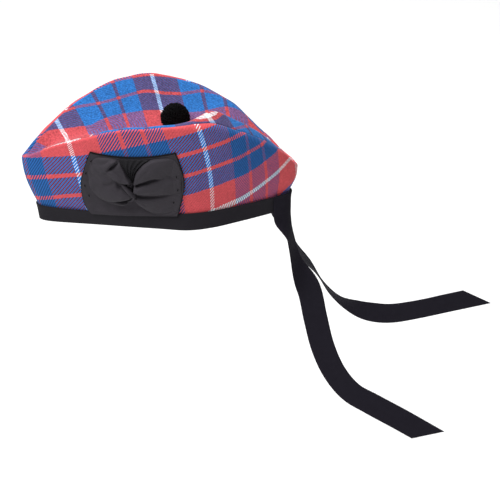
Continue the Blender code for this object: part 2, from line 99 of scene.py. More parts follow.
# The length that each tail's ribbon is cut to, as measured along its middle from the seam.
SLANT_START = 0.56
SLANT_END = 0.96

# How finely the cloth is divided.
STATIONS = 221
WALL_STATIONS = 181

# Folds from the front tip to the back tip. "along" is a share of the length, "rim" and "waist" of the
# rim's half width, "crease" and "inset" of the cap's half width, and the rest of the cap's height.
SECTION_COLUMNS = ("along", "rim", "waist", "crease", "left", "inset", "lift", "right", "valley")
SECTIONS = (
    (0.000, 0.000, 0.000, 0.000, 0.528, 0.100, 0.015, 0.528, 0.535),
    (0.012, 0.115, 0.120, 0.100, 0.540, 0.085, 0.013, 0.546, 0.545),
    (0.050, 0.215, 0.250, 0.225, 0.586, 0.085, 0.012, 0.621, 0.585),
    (0.120, 0.325, 0.410, 0.420, 0.674, 0.085, 0.011, 0.731, 0.650),
    (0.220, 0.470, 0.580, 0.660, 0.764, 0.085, 0.011, 0.857, 0.670),
    (0.340, 0.655, 0.735, 0.870, 0.857, 0.088, 0.012, 0.944, 0.630),
    (0.470, 0.850, 0.845, 0.985, 0.882, 0.095, 0.014, 0.974, 0.630),
    (0.580, 1.000, 0.910, 1.000, 0.890, 0.120, 0.022, 0.921, 0.640),
    (0.680, 0.915, 0.830, 0.930, 0.862, 0.290, 0.090, 0.847, 0.610),
    (0.780, 0.690, 0.640, 0.755, 0.757, 0.270, 0.092, 0.746, 0.545),
    (0.870, 0.465, 0.435, 0.535, 0.638, 0.180, 0.065, 0.577, 0.480),
    (0.945, 0.260, 0.245, 0.285, 0.508, 0.110, 0.024, 0.447, 0.420),
    (0.988, 0.115, 0.115, 0.112, 0.402, 0.100, 0.015, 0.393, 0.375),
    (1.000, 0.000, 0.000, 0.000, 0.364, 0.100, 0.015, 0.364, 0.366),
)
WIDTH_COLUMNS = ("rim", "waist", "crease")

# For each corner of a section: how far it is rounded, into how many steps, and the steps before it.
ROUNDINGS = (
    (0, 0, 0),
    (WAIST_ROUNDING, 4, 6),
    (WALL_ROUNDING, 8, 8),
    (FOLD_ROUNDING, 8, 8),
    (FOLD_ROUNDING, 8, 8),
    (SAG_ROUNDING, 6, 8),
    (VALLEY_ROUNDING, 6, 8),
)
CREASE_CORNER = 3
ROLL_CORNER = 4
# The left seam lies this many steps in from the crease, on the flat between the crease and the roll.
LEFT_SEAM_STEPS = 5

COCKADE_COLUMNS = ("height", "front", "back")
COCKADE_ROWS = (
    (0.00, 0.815, 0.860),
    (0.14, 0.945, 0.915),
    (0.30, 0.990, 0.960),
    (0.50, 1.000, 0.995),
    (0.72, 0.925, 0.955),
    (1.00, 0.790, 0.830),
)

# Each bow piece from the knot outwards: place along the cockade's width, then its lower and upper edge
# as shares of the cockade's height.
BOW_COLUMNS = ("place", "low", "high")
FRONT_WING = (
    (-0.005, 0.306, 0.600),
    (-0.042, 0.250, 0.675),
    (-0.081, 0.206, 0.795),
    (-0.128, 0.188, 0.915),
    (-0.193, 0.192, 0.938),
    (-0.270, 0.236, 0.942),
    (-0.335, 0.322, 0.925),
    (-0.390, 0.444, 0.830),
    (-0.416, 0.560, 0.700),
)
BACK_WING = (
    (0.014, 0.309, 0.594),
    (0.038, 0.256, 0.730),
    (0.071, 0.194, 0.806),
    (0.118, 0.135, 0.884),
    (0.184, 0.070, 0.936),
    (0.270, 0.036, 0.955),
    (0.360, 0.036, 0.950),
    (0.425, 0.090, 0.890),
    (0.465, 0.280, 0.740),
)

# The ribbon tails' middle lines, as shares of the tail's length: out past the rim's back end, drop
# below the rim, near towards the wearer's left, then the ribbon's turn in degrees.
TAIL_COLUMNS = ("out", "drop", "near", "turn")
TAIL_LEFT = (
    (-0.026, -0.057, 0.026, 33),
    (-0.022, 0.009, 0.027, 38),
    (-0.004, 0.052, 0.034, 66),
    (0.006, 0.100, 0.037, 70),
    (0.026, 0.190, 0.037, 58),
    (0.065, 0.278, 0.039, 10),
    (0.086, 0.378, 0.044, 0),
    (0.111, 0.483, 0.053, -4),
    (0.149, 0.574, 0.064, -6),
    (0.202, 0.643, 0.078, -2),
    (0.270, 0.686, 0.092, 4),
    (0.362, 0.739, 0.111, 6),
    (0.455, 0.798, 0.125, 4),
)
TAIL_RIGHT = (
    (-0.026, -0.057, -0.026, -33),
    (-0.021, 0.020, -0.028, -38),
    (-0.006, 0.080, -0.036, -58),
    (0.014, 0.134, -0.041, -68),
    (0.059, 0.207, -0.043, -62),
    (0.111, 0.281, -0.042, -77),
    (0.162, 0.347, -0.038, -60),
    (0.222, 0.388, -0.034, -30),
    (0.277, 0.409, -0.028, -10),
    (0.344, 0.413, -0.018, -6),
    (0.432, 0.395, -0.005, -8),
    (0.512, 0.373, 0.006, -8),
    (0.612, 0.347, 0.018, -8),
)


# Shared shapes.


def unit(vector):
    """The same direction at length one."""
    return vector / max(np.linalg.norm(vector), 1e-12)


def smooth_step(x):
    """0 below 0, 1 above 1 and an even curve between."""
    x = np.clip(x, 0.0, 1.0)
    return x * x * (3.0 - 2.0 * x)


def fades_in(place, ends):
    """0 before the first of two ends and 1 after the second."""
    start, end = ends
    return smooth_step((place - start) / (end - start))


def curve(values, place, mirror=0):
    """A smooth curve through evenly spaced values. Past an end it reflects, with the sign of mirror,
    or carries straight on when mirror is 0."""
    last = len(values) - 1

    def value(i):
        if 0 <= i <= last:
            return values[i]
        end = 0 if i < 0 else last
        if mirror == 0:
            return 2 * values[end] - values[2 * end - i]
        return mirror * values[2 * end - i]

    i = min(int(place), last - 1)
    u = place - i
    before, start, stop, after = value(i - 1), value(i), value(i + 1), value(i + 2)
    slope = stop - before
    bend = 2 * before - 5 * start + 4 * stop - after
    rest = 3 * start - before - 3 * stop + after
    return 0.5 * (2 * start + slope * u + bend * u**2 + rest * u**3)


def point_on(line, place):
    """All the numbers of a line of points at a place between them."""
    return np.array([curve(values, place) for values in zip(*line)])


def column(rows, columns, name):
    """One column of a table."""
    at = columns.index(name)
    return [row[at] for row in rows]


def read(rows, columns, name, place, mirror=0):
    """One column of a table at a place between its rows."""
    return curve(column(rows, columns, name), place, mirror)


def section_value(name, place):
    """A column of the cap's table: widths cross the middle plane, the rest reflects in it."""
    return read(SECTIONS, SECTION_COLUMNS, name, place, -1 if name in WIDTH_COLUMNS else 1)


def fold_points(place, side):
    """The corners of one cross-section, from the rim up the wall, over the ridge and into the valley."""
    along = section_value("along", place)
    half_rim = side * RIM_WIDTH / 2
    half_cap = side * CAP_WIDTH / 2
    rim = np.array([RIM_FRONT + along * RIM_LENGTH, half_rim * section_value("rim", place), 0.0])
    waist_x = RIM_FRONT - WAIST_OVERHANG + along * (RIM_LENGTH + WAIST_OVERHANG)
    waist = np.array([waist_x, half_rim * section_value("waist", place), BAND_HEIGHT])
    ridge = CAP_HEIGHT * section_value("left" if side < 0 else "right", place)
    crease_x = CAP_FRONT + along * CAP_LENGTH
    crease = np.array([crease_x, half_cap * section_value("crease", place), ridge])
    valley_x = CAP_FRONT + VALLEY_SHORTENING + along * (CAP_LENGTH - 2 * VALLEY_SHORTENING)
    valley = np.array([valley_x, 0.0, CAP_HEIGHT * section_value("valley", place)])
    inward = (valley - crease) * (1, 1, 0)
    inset = CAP_WIDTH / 2 * section_value("inset", place if side < 0 else 0)
    inset = min(inset, INSET_SHARE * np.linalg.norm(inward))
    lift = CAP_HEIGHT * section_value("lift", place if side < 0 else 0)
    roll = crease + unit(inward) * inset + np.array([0, 0, lift])
    wall = (waist + crease) / 2 - unit(inward) * WALL_BULGE
    sag = (roll + valley) / 2 - np.array([0, 0, CROWN_SAG])
    return [rim, waist, wall, crease, roll, sag, valley]


def corner_middle(corner):
    """Where the middle of a corner's rounding lies in the list of a section's points."""
    steps = sum(round_steps + straight for _, round_steps, straight in ROUNDINGS[:corner])
    return steps + ROUNDINGS[corner][2] + ROUNDINGS[corner][1] // 2


def section(place, side):
    """One cross-section as points, with its corners rounded."""
    corners = fold_points(place, side)
    corners.append(fold_points(place, -side)[-2])
    lengths = [np.linalg.norm(b - a) for a, b in zip(corners, corners[1:])]
    points = [corners[0]]
    start = corners[0]
    for i in range(1, len(corners) - 1):
        rounding, steps, straight = ROUNDINGS[i]
        reach = min(rounding, ROUNDING_SHARE * min(lengths[i - 1], lengths[i]))
        enter = corners[i] + unit(corners[i - 1] - corners[i]) * reach
        leave = corners[i] + unit(corners[i + 1] - corners[i]) * reach
        for step in range(1, straight + 1):
            points.append(start + (enter - start) * step / straight)
        # The valley's rounding stops halfway, in the middle plane.
        span = 0.5 if i == len(corners) - 2 else 1.0
        for step in range(1, steps + 1):
            u = span * step / steps
            points.append(enter * (1 - u) ** 2 + corners[i] * 2 * u * (1 - u) + leave * u * u)
        start = leave
    points[-1] = points[-1] * (1, 0, 1)
    return points


def cap_surface(stations):
    """The cap's outside as points[side][station][place], with side 0 the wearer's left."""
    places = np.linspace(0, len(SECTIONS) - 1, stations)
    points = np.array([[section(place, side) for place in places] for side in (-1, 1)])
    for end in (0, stations - 1):
        points[:, end, :, 1] = 0.0
        points[1, end] = points[0, end]
    points[1, :, -1] = points[0, :, -1]
    return points


def along_lines(points):
    """How far along its line each point lies, from the line's first point."""
    steps = np.linalg.norm(np.diff(points, axis=-2), axis=-1)
    start = np.zeros(steps.shape[:-1] + (1,))
    return np.concatenate([start, np.cumsum(steps, axis=-1)], axis=-1)


def new_piece(name, vertices, faces, cloth=None):
    """A smooth mesh object with flat-cloth coordinates, in millimetres, for each vertex."""
    mesh = bpy.data.meshes.new(name)
    mesh.from_pydata([tuple(v) for v in vertices], [], [[int(v) for v in f] for f in faces])
    if cloth is not None:
        layer = mesh.uv_layers.new(name="cloth")
        corners = np.empty(len(mesh.loops), dtype=np.int32)
        mesh.loops.foreach_get("vertex_index", corners)
        layer.data.foreach_set("uv", np.asarray(cloth, dtype=np.float32)[corners].ravel())
    mesh.polygons.foreach_set("use_smooth", [True] * len(mesh.polygons))
    edit = bmesh.new()
    edit.from_mesh(mesh)
    loose = [v for v in edit.verts if not v.link_faces]
    bmesh.ops.delete(edit, geom=loose, context="VERTS")
    bmesh.ops.recalc_face_normals(edit, faces=edit.faces)
    edit.to_mesh(mesh)
    edit.free()
    item = bpy.data.objects.new(name, mesh)
    bpy.context.scene.collection.objects.link(item)
    return item


def closed_faces(faces, count):
    """A closed sheet's faces: those outside, the same turned over inside, and walls at open edges. The
    inside points follow the count of outside ones."""
    edges = {}
    for face in faces:
        for a, b in zip(face, face[1:] + face[:1]):
            edges.setdefault(frozenset((a, b)), []).append((a, b))
    solid = list(faces) + [[v + count for v in face[::-1]] for face in faces]
    for uses in edges.values():
        if len(uses) == 1:
            a, b = uses[0]
            solid.append([b, a, a + count, b + count])
    return solid


def shell(name, outside, inside, faces, cloth):
    """A closed sheet of cloth between its outside and its inside points."""
    solid = closed_faces(faces, len(outside))
    return new_piece(name, np.concatenate([outside, inside]), solid, np.concatenate([cloth, cloth]))


def grid_faces(rows, columns, ring=False):
    """Faces of a grid of points numbered row by row; a ring closes it along and across."""
    faces = []
    for i in range(rows if ring else rows - 1):
        after = (i + 1) % rows
        for j in range(columns if ring else columns - 1):
            k = (j + 1) % columns
            faces.append([i * columns + j, after * columns + j, after * columns + k, i * columns + k])
    return faces


def pad(name, outside, inside, cloth):
    """A closed pad between two grids of points."""
    rows, columns = outside.shape[:2]
    faces = grid_faces(rows, columns)
    return shell(name, outside.reshape(-1, 3), inside.reshape(-1, 3), faces, cloth.reshape(-1, 2))


def tube_faces(first, rings, sides):
    """Faces of a closed tube whose rings of points are numbered from first."""
    faces = []
    for ring in range(rings - 1):
        for k in range(sides):
            a = first + ring * sides + k
            b = first + ring * sides + (k + 1) % sides
            faces.append([a, b, b + sides, a + sides])
    faces.append([first + k for k in range(sides)][::-1])
    faces.append([first + (rings - 1) * sides + k for k in range(sides)])
    return faces


def rolled(edge, roll):
    """The height of a rounded edge, from 0 at the edge to 1 where it has rolled over."""
    return np.sqrt(np.clip(1 - (1 - np.minimum(edge / roll, 1)) ** 2, 0, 1))


def ripple(x, y, size, seed):
    """Soft unevenness from -1 to 1, about size across."""
    return noise.noise(Vector((x / size, y / size, seed)))


# Wool.

# How the checked cloth lies on the pieces. Its two ways are measured in millimetres of the flat check,
# with a white line at each multiple of 126 and the blue middle halfway. The thread number of a warp
# line comes first, then how far along the rim it lies: on the walls at three heights, a reach below the
# middle, at the middle and a reach above it, and on the crown at the right ridge, at the bottom of the
# valley and at the left crease.
WALL_WARP_MIDDLE = 70.0
WALL_WARP_REACH = 50.0
WALL_WARPS = (
    (-100.0, -34.0, -36.0, -42.0),
    (-51.5, 6.0, 7.0, 1.0),
    (-29.0, 25.0, 24.5, 20.0),
    (0.0, 60.0, 57.0, 50.5),
    (29.0, 93.0, 87.0, 80.0),
    (51.5, 118.0, 112.0, 102.3),
    (74.5, 142.0, 136.0, 125.8),
    (97.0, 165.0, 158.0, 146.5),
    (126.0, 195.0, 190.8, 181.0),
    (155.0, 223.0, 216.5, 209.0),
    (177.5, 242.0, 234.0, 227.0),
    (200.5, 261.0, 251.0, 241.0),
    (222.0, 273.0, 265.0, 256.0),
    (260.0, 300.0, 292.0, 282.0),
)
CROWN_WARPS = (
    (-189.0, -10.0, -8.0, -6.0),
    (-150.5, 14.0, 18.0, 25.0),
    (-126.0, 37.8, 39.4, 52.2),
    (-74.5, 76.0, 91.5, 104.0),
    (-51.5, 98.5, 112.5, 130.0),
    (-24.5, 118.6, 133.0, 158.0),
    (0.0, 139.0, 153.5, 198.0),
    (24.5, 165.0, 181.0, 222.0),
    (51.5, 189.4, 203.0, 240.0),
    (74.5, 214.7, 228.0, 256.0),
    (126.0, 262.0, 270.0, 290.0),
    (160.0, 296.0, 298.0, 300.0),
)
# The walls' weft rises towards the back by this angle; a white weft crosses the rim's front tip here.
GRAIN = math.radians(15.0)
WALL_WEFT_START = -33.0
WALL_WEFT_REPEAT = 71.4
# Below the rear white line the cloth is eased, so that its red reaches the rim.
LOW_WEFT = 0.55
CHECK_REPEAT = 63.0
# The right wall's weft lines lie this much higher than the left's. The left's upper blue is narrower by
# this much, from this thread on and over this many.
RIGHT_WEFT_RISE = 8.0
LEFT_BLUE_NARROWER = 2.2
LEFT_NARROWER_START = 78.0
LEFT_NARROWER_OVER = 14.0
# Behind this place the weft lines turn up towards the back tip, less and less up to this height.
BACK_BEND_START = 220.0
BACK_BEND = 0.014
BACK_BEND_TOP = 130.0
# At the front the left wall's cloth is drawn in above the edge of its blue, so that its white weft lies in
# the crease: the thread at that edge, its height and slope along the rim, the threads from there to the
# crease, how many more there are where the white line shows and the places between which it comes and
# goes, the places between which the drawing in ends, and the least height it is spread over.
FRONT_EDGE_THREAD = 97.0
FRONT_EDGE_HEIGHT = 76.3
FRONT_EDGE_SLOPE = 0.266
FRONT_THREADS = 24.0
WHITE_LINE_THREADS = 4.6
WHITE_LINE_FROM = (14.0, 28.0)
WHITE_LINE_UNTIL = (60.0, 72.0)
FRONT_DRAWN_UNTIL = (70.0, 92.0)
LEAST_DRAWN_HEIGHT = 4.0
# The crown's weft lines: thread number, then how far down each lies at the places along the rim, with 0
# at the right ridge, 1 in the valley and 2 at the left crease. The line after the red's upper edge lies
# the same step below it all along.
CROWN_PLACES = (14, 27, 39, 50, 62, 70, 80, 92, 104, 130, 150, 170, 180, 190, 198, 207, 218, 235, 293)
CROWN_RED_EDGE = (-0.08, 0.14, 0.53, 0.68, 0.75, 0.75, 0.66, 0.61, 0.59, 0.58, 0.58, 0.57, 0.56, 0.50, 0.42,
                  0.31, 0.17, 0.0, -0.2)
CROWN_RED_STEP = 0.17
CROWN_WEFTS = (
    (100, (-2.4, -1.8, -1.2, -1.0, -0.8, -0.6, -0.4, -0.4, -0.35, -0.35, -0.35, -0.4, -0.5, -0.6, -0.6,
           -0.7, -0.8, -0.9, -1.2)),
    (74.5, (-1.2, -0.9, -0.5, -0.3, -0.15, -0.08, -0.02, 0.0, 0.01, 0.02, 0.01, -0.04, -0.12, -0.2, -0.25,
            -0.3, -0.4, -0.5, -0.7)),
    (51.5, (-0.55, -0.35, -0.15, 0.05, 0.18, 0.25, 0.31, 0.33, 0.32, 0.28, 0.31, 0.27, 0.19, 0.10, 0.05,
            0.0, -0.08, -0.2, -0.4)),
    (24.5, CROWN_RED_EDGE),
    (14, tuple(down + CROWN_RED_STEP for down in CROWN_RED_EDGE)),
    (10, (2.0, 1.86, 1.86, 1.87, 1.87, 1.90, 1.66, 1.36, 1.16, 1.06, 1.16, 1.52, 1.60, 1.57, 1.54, 1.46,
          1.32, 1.02, 0.52)),
    (0, (2.1, 1.92, 1.92, 1.93, 1.93, 2.05, 1.80, 1.50, 1.30, 1.20, 1.30, 1.75, 1.87, 1.85, 1.79, 1.62,
         1.40, 1.10, 0.60)),
    (-24.5, (2.4, 2.15, 2.15, 2.15, 2.15, 2.2, 1.98, 1.80, 1.75, 1.75, 1.80, 1.88, 1.905, 1.90, 1.86, 1.74,
             1.62, 1.38, 1.0)),
    (-51.5, (3.0, 3.0, 3.0, 3.0, 2.9, 2.7, 2.3, 2.1, 2.03, 2.02, 2.02, 2.02, 2.02, 2.02, 2.01, 1.98,
             1.90, 1.74, 1.5)),
    (-65, (3.4, 3.4, 3.4, 3.4, 3.3, 3.1, 2.6, 2.3, 2.2, 2.15, 2.15, 2.15, 2.15, 2.15, 2.12, 2.08, 2.03,
           1.97, 1.9)),
)


def between(lines, place):
    """A number for each place between lines that are given as pairs of their number and their place."""
    total = np.full(np.shape(place), float(lines[0][0]))
    for (number, at), (after, after_at) in zip(lines, lines[1:]):
        total = total + np.clip((place - at) / (after_at - at), 0, 1) * (after - number)
    return total


def wall_cloth(s, h, crease=None):
    """The left wall also gives the height of its crease."""
    share = (h - WALL_WARP_MIDDLE) / WALL_WARP_REACH
    lines = []
    for number, foot, waist, top in WALL_WARPS:
        lines.append((number, waist + (top - foot) / 2 * share + ((top + foot) / 2 - waist) * share**2))
    warp = between(lines, s)
    weft = h * math.cos(GRAIN) - s * math.sin(GRAIN)
    back = np.maximum(s - BACK_BEND_START, 0.0)
    weft = weft - BACK_BEND * back * back * np.maximum(1 - h / BACK_BEND_TOP, 0.0)
    weft = (weft - WALL_WEFT_START) * CHECK_REPEAT / WALL_WEFT_REPEAT
    weft = np.where(weft < 0, weft * LOW_WEFT, weft)
    if crease is None:
        return np.stack([warp, weft - RIGHT_WEFT_RISE], axis=-1)
    weft = weft + LEFT_BLUE_NARROWER * smooth_step((weft - LEFT_NARROWER_START) / LEFT_NARROWER_OVER)
    edge = FRONT_EDGE_HEIGHT + FRONT_EDGE_SLOPE * s
    line_shows = fades_in(s, WHITE_LINE_FROM) * (1 - fades_in(s, WHITE_LINE_UNTIL))
    threads = FRONT_THREADS + WHITE_LINE_THREADS * line_shows
    drawn = FRONT_EDGE_THREAD + (h - edge) * threads / np.maximum(crease - edge, LEAST_DRAWN_HEIGHT)
    front = (1 - fades_in(s, FRONT_DRAWN_UNTIL)) * (h > edge)
    return np.stack([warp, weft * (1 - front) + drawn * front], axis=-1)


def crown_cloth(s, down):
    lines = []
    for number, ridge, valley, crease in CROWN_WARPS:
        first = ridge + (valley - ridge) * np.minimum(down, 1)
        lines.append((number, first + (crease - valley) * np.maximum(down - 1, 0)))
    warp = between(lines, s)
    lines = [(number, np.interp(s, CROWN_PLACES, downs)) for number, downs in CROWN_WEFTS]
    return np.stack([warp, between(lines, down)], axis=-1)


def cap_numbers(points):
    """A number for each point, shared where the two halves meet."""
    numbers = np.arange(points.shape[0] * points.shape[1] * points.shape[2]).reshape(points.shape[:3])
    numbers[1, 0] = numbers[0, 0]
    numbers[1, -1] = numbers[0, -1]
    numbers[1, :, -1] = numbers[0, :, -1]
    return numbers


def cap_faces(numbers, side, first, last):
    """Four-sided faces of one half between two places of the section."""
    faces = []
    for i in range(numbers.shape[1] - 1):
        for j in range(first, last):
            face = [numbers[side, i, j], numbers[side, i + 1, j],
                    numbers[side, i + 1, j + 1], numbers[side, i, j + 1]]
            face = list(dict.fromkeys(face))
            if len(face) > 2:
                faces.append(face if side == 0 else face[::-1])
    return faces


def face_normals(points, faces):
    """The mean direction of the faces round each point."""
    normals = np.zeros_like(points)
    quads = np.array([face if len(face) == 4 else face + face[-1:] for face in faces])
    a, b, c, d = (points[quads[:, k]] for k in range(4))
    cross = np.cross(c - a, d - b)
    cross /= np.maximum(np.linalg.norm(cross, axis=1), 1e-15)[:, None]
    for k in range(4):
        np.add.at(normals, quads[:, k], cross)
    return normals / np.maximum(np.linalg.norm(normals, axis=1), 1e-12)[:, None]


# Steamed wool is never quite flat: the heights of its long, short and fine waves, and their lengths. The
# stiff cockade leaves this share of them, and they come back over this much beside it. Along a seam the
# cloth draws in a little.
LONG_WAVE = 0.0014
LONG_WAVE_LENGTH = 0.042
SHORT_WAVE = 0.0006
SHORT_WAVE_LENGTH = 0.024
FINE_WAVE = 0.0003
FINE_WAVE_LENGTH = 0.016
LEFT_BY_COCKADE = 0.12
BESIDE_COCKADE = 0.015
SEAM_DRAW = 0.0003
SEAM_DRAW_WIDTH_MM = 1.3
# The waves fade out towards the band and towards the two tips, over these millimetres and stations.
FADE_ABOVE_RIM_MM = 26.0
FADE_STATIONS = 8


def wool_wave(p, side):
    """How far the wool's unevenness lifts it at a point of one half."""
    wave = LONG_WAVE * ripple(p[0], p[2] + p[1], LONG_WAVE_LENGTH, 3.1)
    wave += SHORT_WAVE * ripple(p[0] + p[2], p[2] - p[0], SHORT_WAVE_LENGTH, 5.4)
    wave += FINE_WAVE * ripple(p[0], p[2] - p[1], FINE_WAVE_LENGTH, 7.7)
    if side == 0:
        ahead = abs(p[0] - COCKADE_CENTRE) - COCKADE_WIDTH / 2
        beside = max(ahead, p[2] - COCKADE_HEIGHT - COCKADE_FOOT)
        wave *= LEFT_BY_COCKADE + (1 - LEFT_BY_COCKADE) * smooth_step(beside / BESIDE_COCKADE)
    return wave


def add_wool(points):
    """The two side panels and the crown, cut from one surface along the seams."""
    numbers = cap_numbers(points)
    last = points.shape[2] - 1
    crease = corner_middle(CREASE_CORNER)
    seams = (crease + LEFT_SEAM_STEPS, corner_middle(ROLL_CORNER))
    flat = points.reshape(-1, 3).copy()
    everything = cap_faces(numbers, 0, 0, last) + cap_faces(numbers, 1, 0, last)
    normals = face_normals(flat, everything)
    up = along_lines(points) * 1000
    rim = along_lines(points[:, :, 0]) * 1000
    rim = np.repeat(rim[:, :, None], points.shape[2], axis=2)
    right_down = (up[1] - up[1, :, seams[1], None]) / (up[1, :, -1] - up[1, :, seams[1]])[:, None]
    left_down = 1 + (up[0, :, -1:] - up[0]) / (up[0, :, -1] - up[0, :, crease])[:, None]
    down = np.stack([left_down, right_down])
    left_top = np.repeat(up[0, :, seams[0], None], points.shape[2], axis=1)
    wall = np.stack([wall_cloth(rim[0], up[0], left_top), wall_cloth(rim[1], up[1])]).reshape(-1, 2)
    crown = crown_cloth(rim, down).reshape(-1, 2)
    for side in (0, 1):
        for i in range(points.shape[1]):
            for j in range(points.shape[2]):
                at = numbers[side, i, j]
                p = points[side, i, j]
                away = (up[side, i, j] - up[side, i, seams[side]]) / SEAM_DRAW_WIDTH_MM
                soft = wool_wave(p, side) - SEAM_DRAW * math.exp(-away * away)
                tips = smooth_step(min(i, points.shape[1] - 1 - i) / FADE_STATIONS)
                free = smooth_step(up[side, i, j] / FADE_ABOVE_RIM_MM) * tips
                flat[at] = p + normals[at] * soft * free
    inside = flat - normals * CLOTH
    pieces = {}
    crown_outside = flat.copy()
    crown_inside = inside.copy()
    for side, name in enumerate(("wool_left", "wool_right")):
        seam = seams[side]
        outer = flat.copy()
        inner = inside.copy()
        for i in range(points.shape[1]):
            here = numbers[side, i, seam]
            back = unit(flat[numbers[side, i, seam - 1]] - flat[here]) * GAP / 2
            outer[here] += back
            inner[here] += back
            crown_outside[here] = flat[here] - back
            crown_inside[here] = inside[here] - back
            foot = numbers[side, i, 0]
            lift = unit(flat[numbers[side, i, 1]] - flat[foot]) * (BAND_CLOTH + BAND_GAP)
            outer[foot] += lift
            inner[foot] = outer[foot] - unit(normals[foot] * (1, 1, 0)) * CLOTH
        sign = -1 if side == 0 else 1
        for layer in (outer, inner):
            layer[:, 1] = sign * np.maximum(sign * layer[:, 1], GAP / 2)
        pieces[name] = shell(name, outer, inner, cap_faces(numbers, side, 0, seam), wall)
    faces = cap_faces(numbers, 0, seams[0], last) + cap_faces(numbers, 1, seams[1], last)
    pieces["wool_crown"] = shell("wool_crown", crown_outside, crown_inside, faces, crown)
    return pieces


# Band.

# The ribbon's thin woven edge, and the height of its soft lower fold.
SELVEDGE = 0.0003
LOWER_FOLD = 0.0016
LOWER_FOLD_STEPS = 10
# The back of the ribbon's outer leg is drawn up to this far below its top.
BACK_STOPS_BELOW = 0.002
# The ribbon's length is measured along this line of its profile, on the outer face.
MEASURED_LINE = 4


def ring_at(points, height):
    """The wall's outline at a height, once round from the front tip, and its outward directions."""
    level = []
    # The wall up to just below its crease.
    top = corner_middle(CREASE_CORNER) - 2
    stations = points.shape[1]
    for side, order in ((0, range(stations)), (1, range(stations - 2, 0, -1))):
        for i in order:
            line = points[side, i, :top]
            level.append([np.interp(height, line[:, 2], line[:, k]) for k in (0, 1)])
    level = np.array(level)
    ahead = np.roll(level, -1, axis=0) - np.roll(level, 1, axis=0)
    outward = np.stack([ahead[:, 1], -ahead[:, 0]], axis=1)
    return level, outward / np.linalg.norm(outward, axis=1)[:, None]


def add_band(points):
    """The ribbon folded round the rim, with a turned lower fold and thin selvedges."""
    outer = -(BAND_GAP + BAND_CLOTH)
    inner = CLOTH + BAND_GAP
    inner_face = inner + BAND_CLOTH

    def leg(depth, start, stop, count):
        return [(height, depth) for height in np.linspace(start, stop, count)]

    profile = [(BAND_HEIGHT - SELVEDGE, -BAND_GAP), (BAND_HEIGHT, outer / 2 - BAND_GAP / 2)]
    profile += leg(outer, BAND_HEIGHT - SELVEDGE, LOWER_FOLD, 12)
    middle = (outer + inner_face) / 2
    half = (inner_face - outer) / 2
    for k in range(1, LOWER_FOLD_STEPS):
        turn = math.pi * k / LOWER_FOLD_STEPS
        profile.append((LOWER_FOLD * (1 - math.sin(turn)), middle - half * math.cos(turn)))
    profile += leg(inner_face, LOWER_FOLD, BAND_INSIDE_HEIGHT, 6)
    profile += leg(inner, BAND_INSIDE_HEIGHT, BAND_CLOTH, 5)
    profile += leg(-BAND_GAP, BAND_CLOTH, BAND_HEIGHT - BACK_STOPS_BELOW, 8)
    rows = []
    marks = []
    travelled = 0.0
    before = None
    for height, depth in profile:
        level, outward = ring_at(points, height)
        placed = level - outward * depth
        rows.append(np.column_stack([placed, np.full(len(placed), height)]))
        if before is not None:
            travelled += math.hypot(height - before[0], depth - before[1])
        before = (height, depth)
        marks.append(travelled)
    around = np.stack(rows, axis=1)
    ring = along_lines(around[:, MEASURED_LINE])
    cloth = np.stack(np.meshgrid(ring * 1000, np.array(marks) * 1000, indexing="ij"), axis=-1)
    faces = grid_faces(*around.shape[:2], ring=True)
    return new_piece("band_ribbon", around.reshape(-1, 3), faces, cloth.reshape(-1, 2))


# Cockade and bow.

# The part of the left wall that carries them, with a line each millimetre: first, last and how many.
WALL_HEIGHTS = (-0.002, 0.122, 125)
WALL_PLACES = (-0.125, 0.075, 201)
# Places stop this short of the end of the lines, so that each lies between two of them. The wall's
# direction is taken over the reach to each side.
SHORT_OF_END = 1.001
DIRECTION_REACH = 0.003


class LeftWall:
    """The left wall as a depth for each place along and each height, and what lies on it."""

    def __init__(self, points):
        self.heights = np.linspace(*WALL_HEIGHTS)
        self.places = np.linspace(*WALL_PLACES)
        top = corner_middle(CREASE_CORNER) - 1
        rows = []
        for z in self.heights:
            xs = [np.interp(z, line[:top, 2], line[:top, 0]) for line in points[0]]
            ys = [np.interp(z, line[:top, 2], line[:top, 1]) for line in points[0]]
            rows.append(np.interp(self.places, xs, ys))
        self.depths = np.array(rows)

    def depth(self, x, z):
        """The wall's y at places and heights."""
        i = (z - self.heights[0]) / (self.heights[1] - self.heights[0])
        j = (x - self.places[0]) / (self.places[1] - self.places[0])
        i = np.clip(i, 0, len(self.heights) - SHORT_OF_END)
        j = np.clip(j, 0, len(self.places) - SHORT_OF_END)
        i0 = i.astype(int)
        j0 = j.astype(int)
        u = i - i0
        v = j - j0
        d = self.depths
        low = d[i0, j0] * (1 - v) + d[i0, j0 + 1] * v
        high = d[i0 + 1, j0] * (1 - v) + d[i0 + 1, j0 + 1] * v
        return low * (1 - u) + high * u

    def off(self, x, z, stand):
        """Points that stand off the wall by a distance along its own direction."""
        step = DIRECTION_REACH
        slope_x = (self.depth(x + step, z) - self.depth(x - step, z)) / (2 * step)
        slope_z = (self.depth(x, z + step) - self.depth(x, z - step)) / (2 * step)
        outward = np.stack([slope_x, -np.ones_like(slope_x), slope_z], axis=-1)
        outward /= np.linalg.norm(outward, axis=-1, keepdims=True)
        base = np.stack([x, self.depth(x, z), z], axis=-1)
        return base + outward * np.asarray(stand)[..., None]


# How finely the cockade is divided, up and across, and how finely its outline is followed.
COCKADE_GRID = (90, 110)
OUTLINE_PLACES = 60


def cockade_stand(height):
    """The cockade's distance off the wall: it lies over the band at its foot and on the wool above."""
    over_band = BAND_GAP + BAND_CLOTH + COCKADE_STAND
    rise = smooth_step((height - BAND_HEIGHT - COCKADE_CLEAR) / COCKADE_BLEND)
    return over_band + (COCKADE_STAND - over_band) * rise


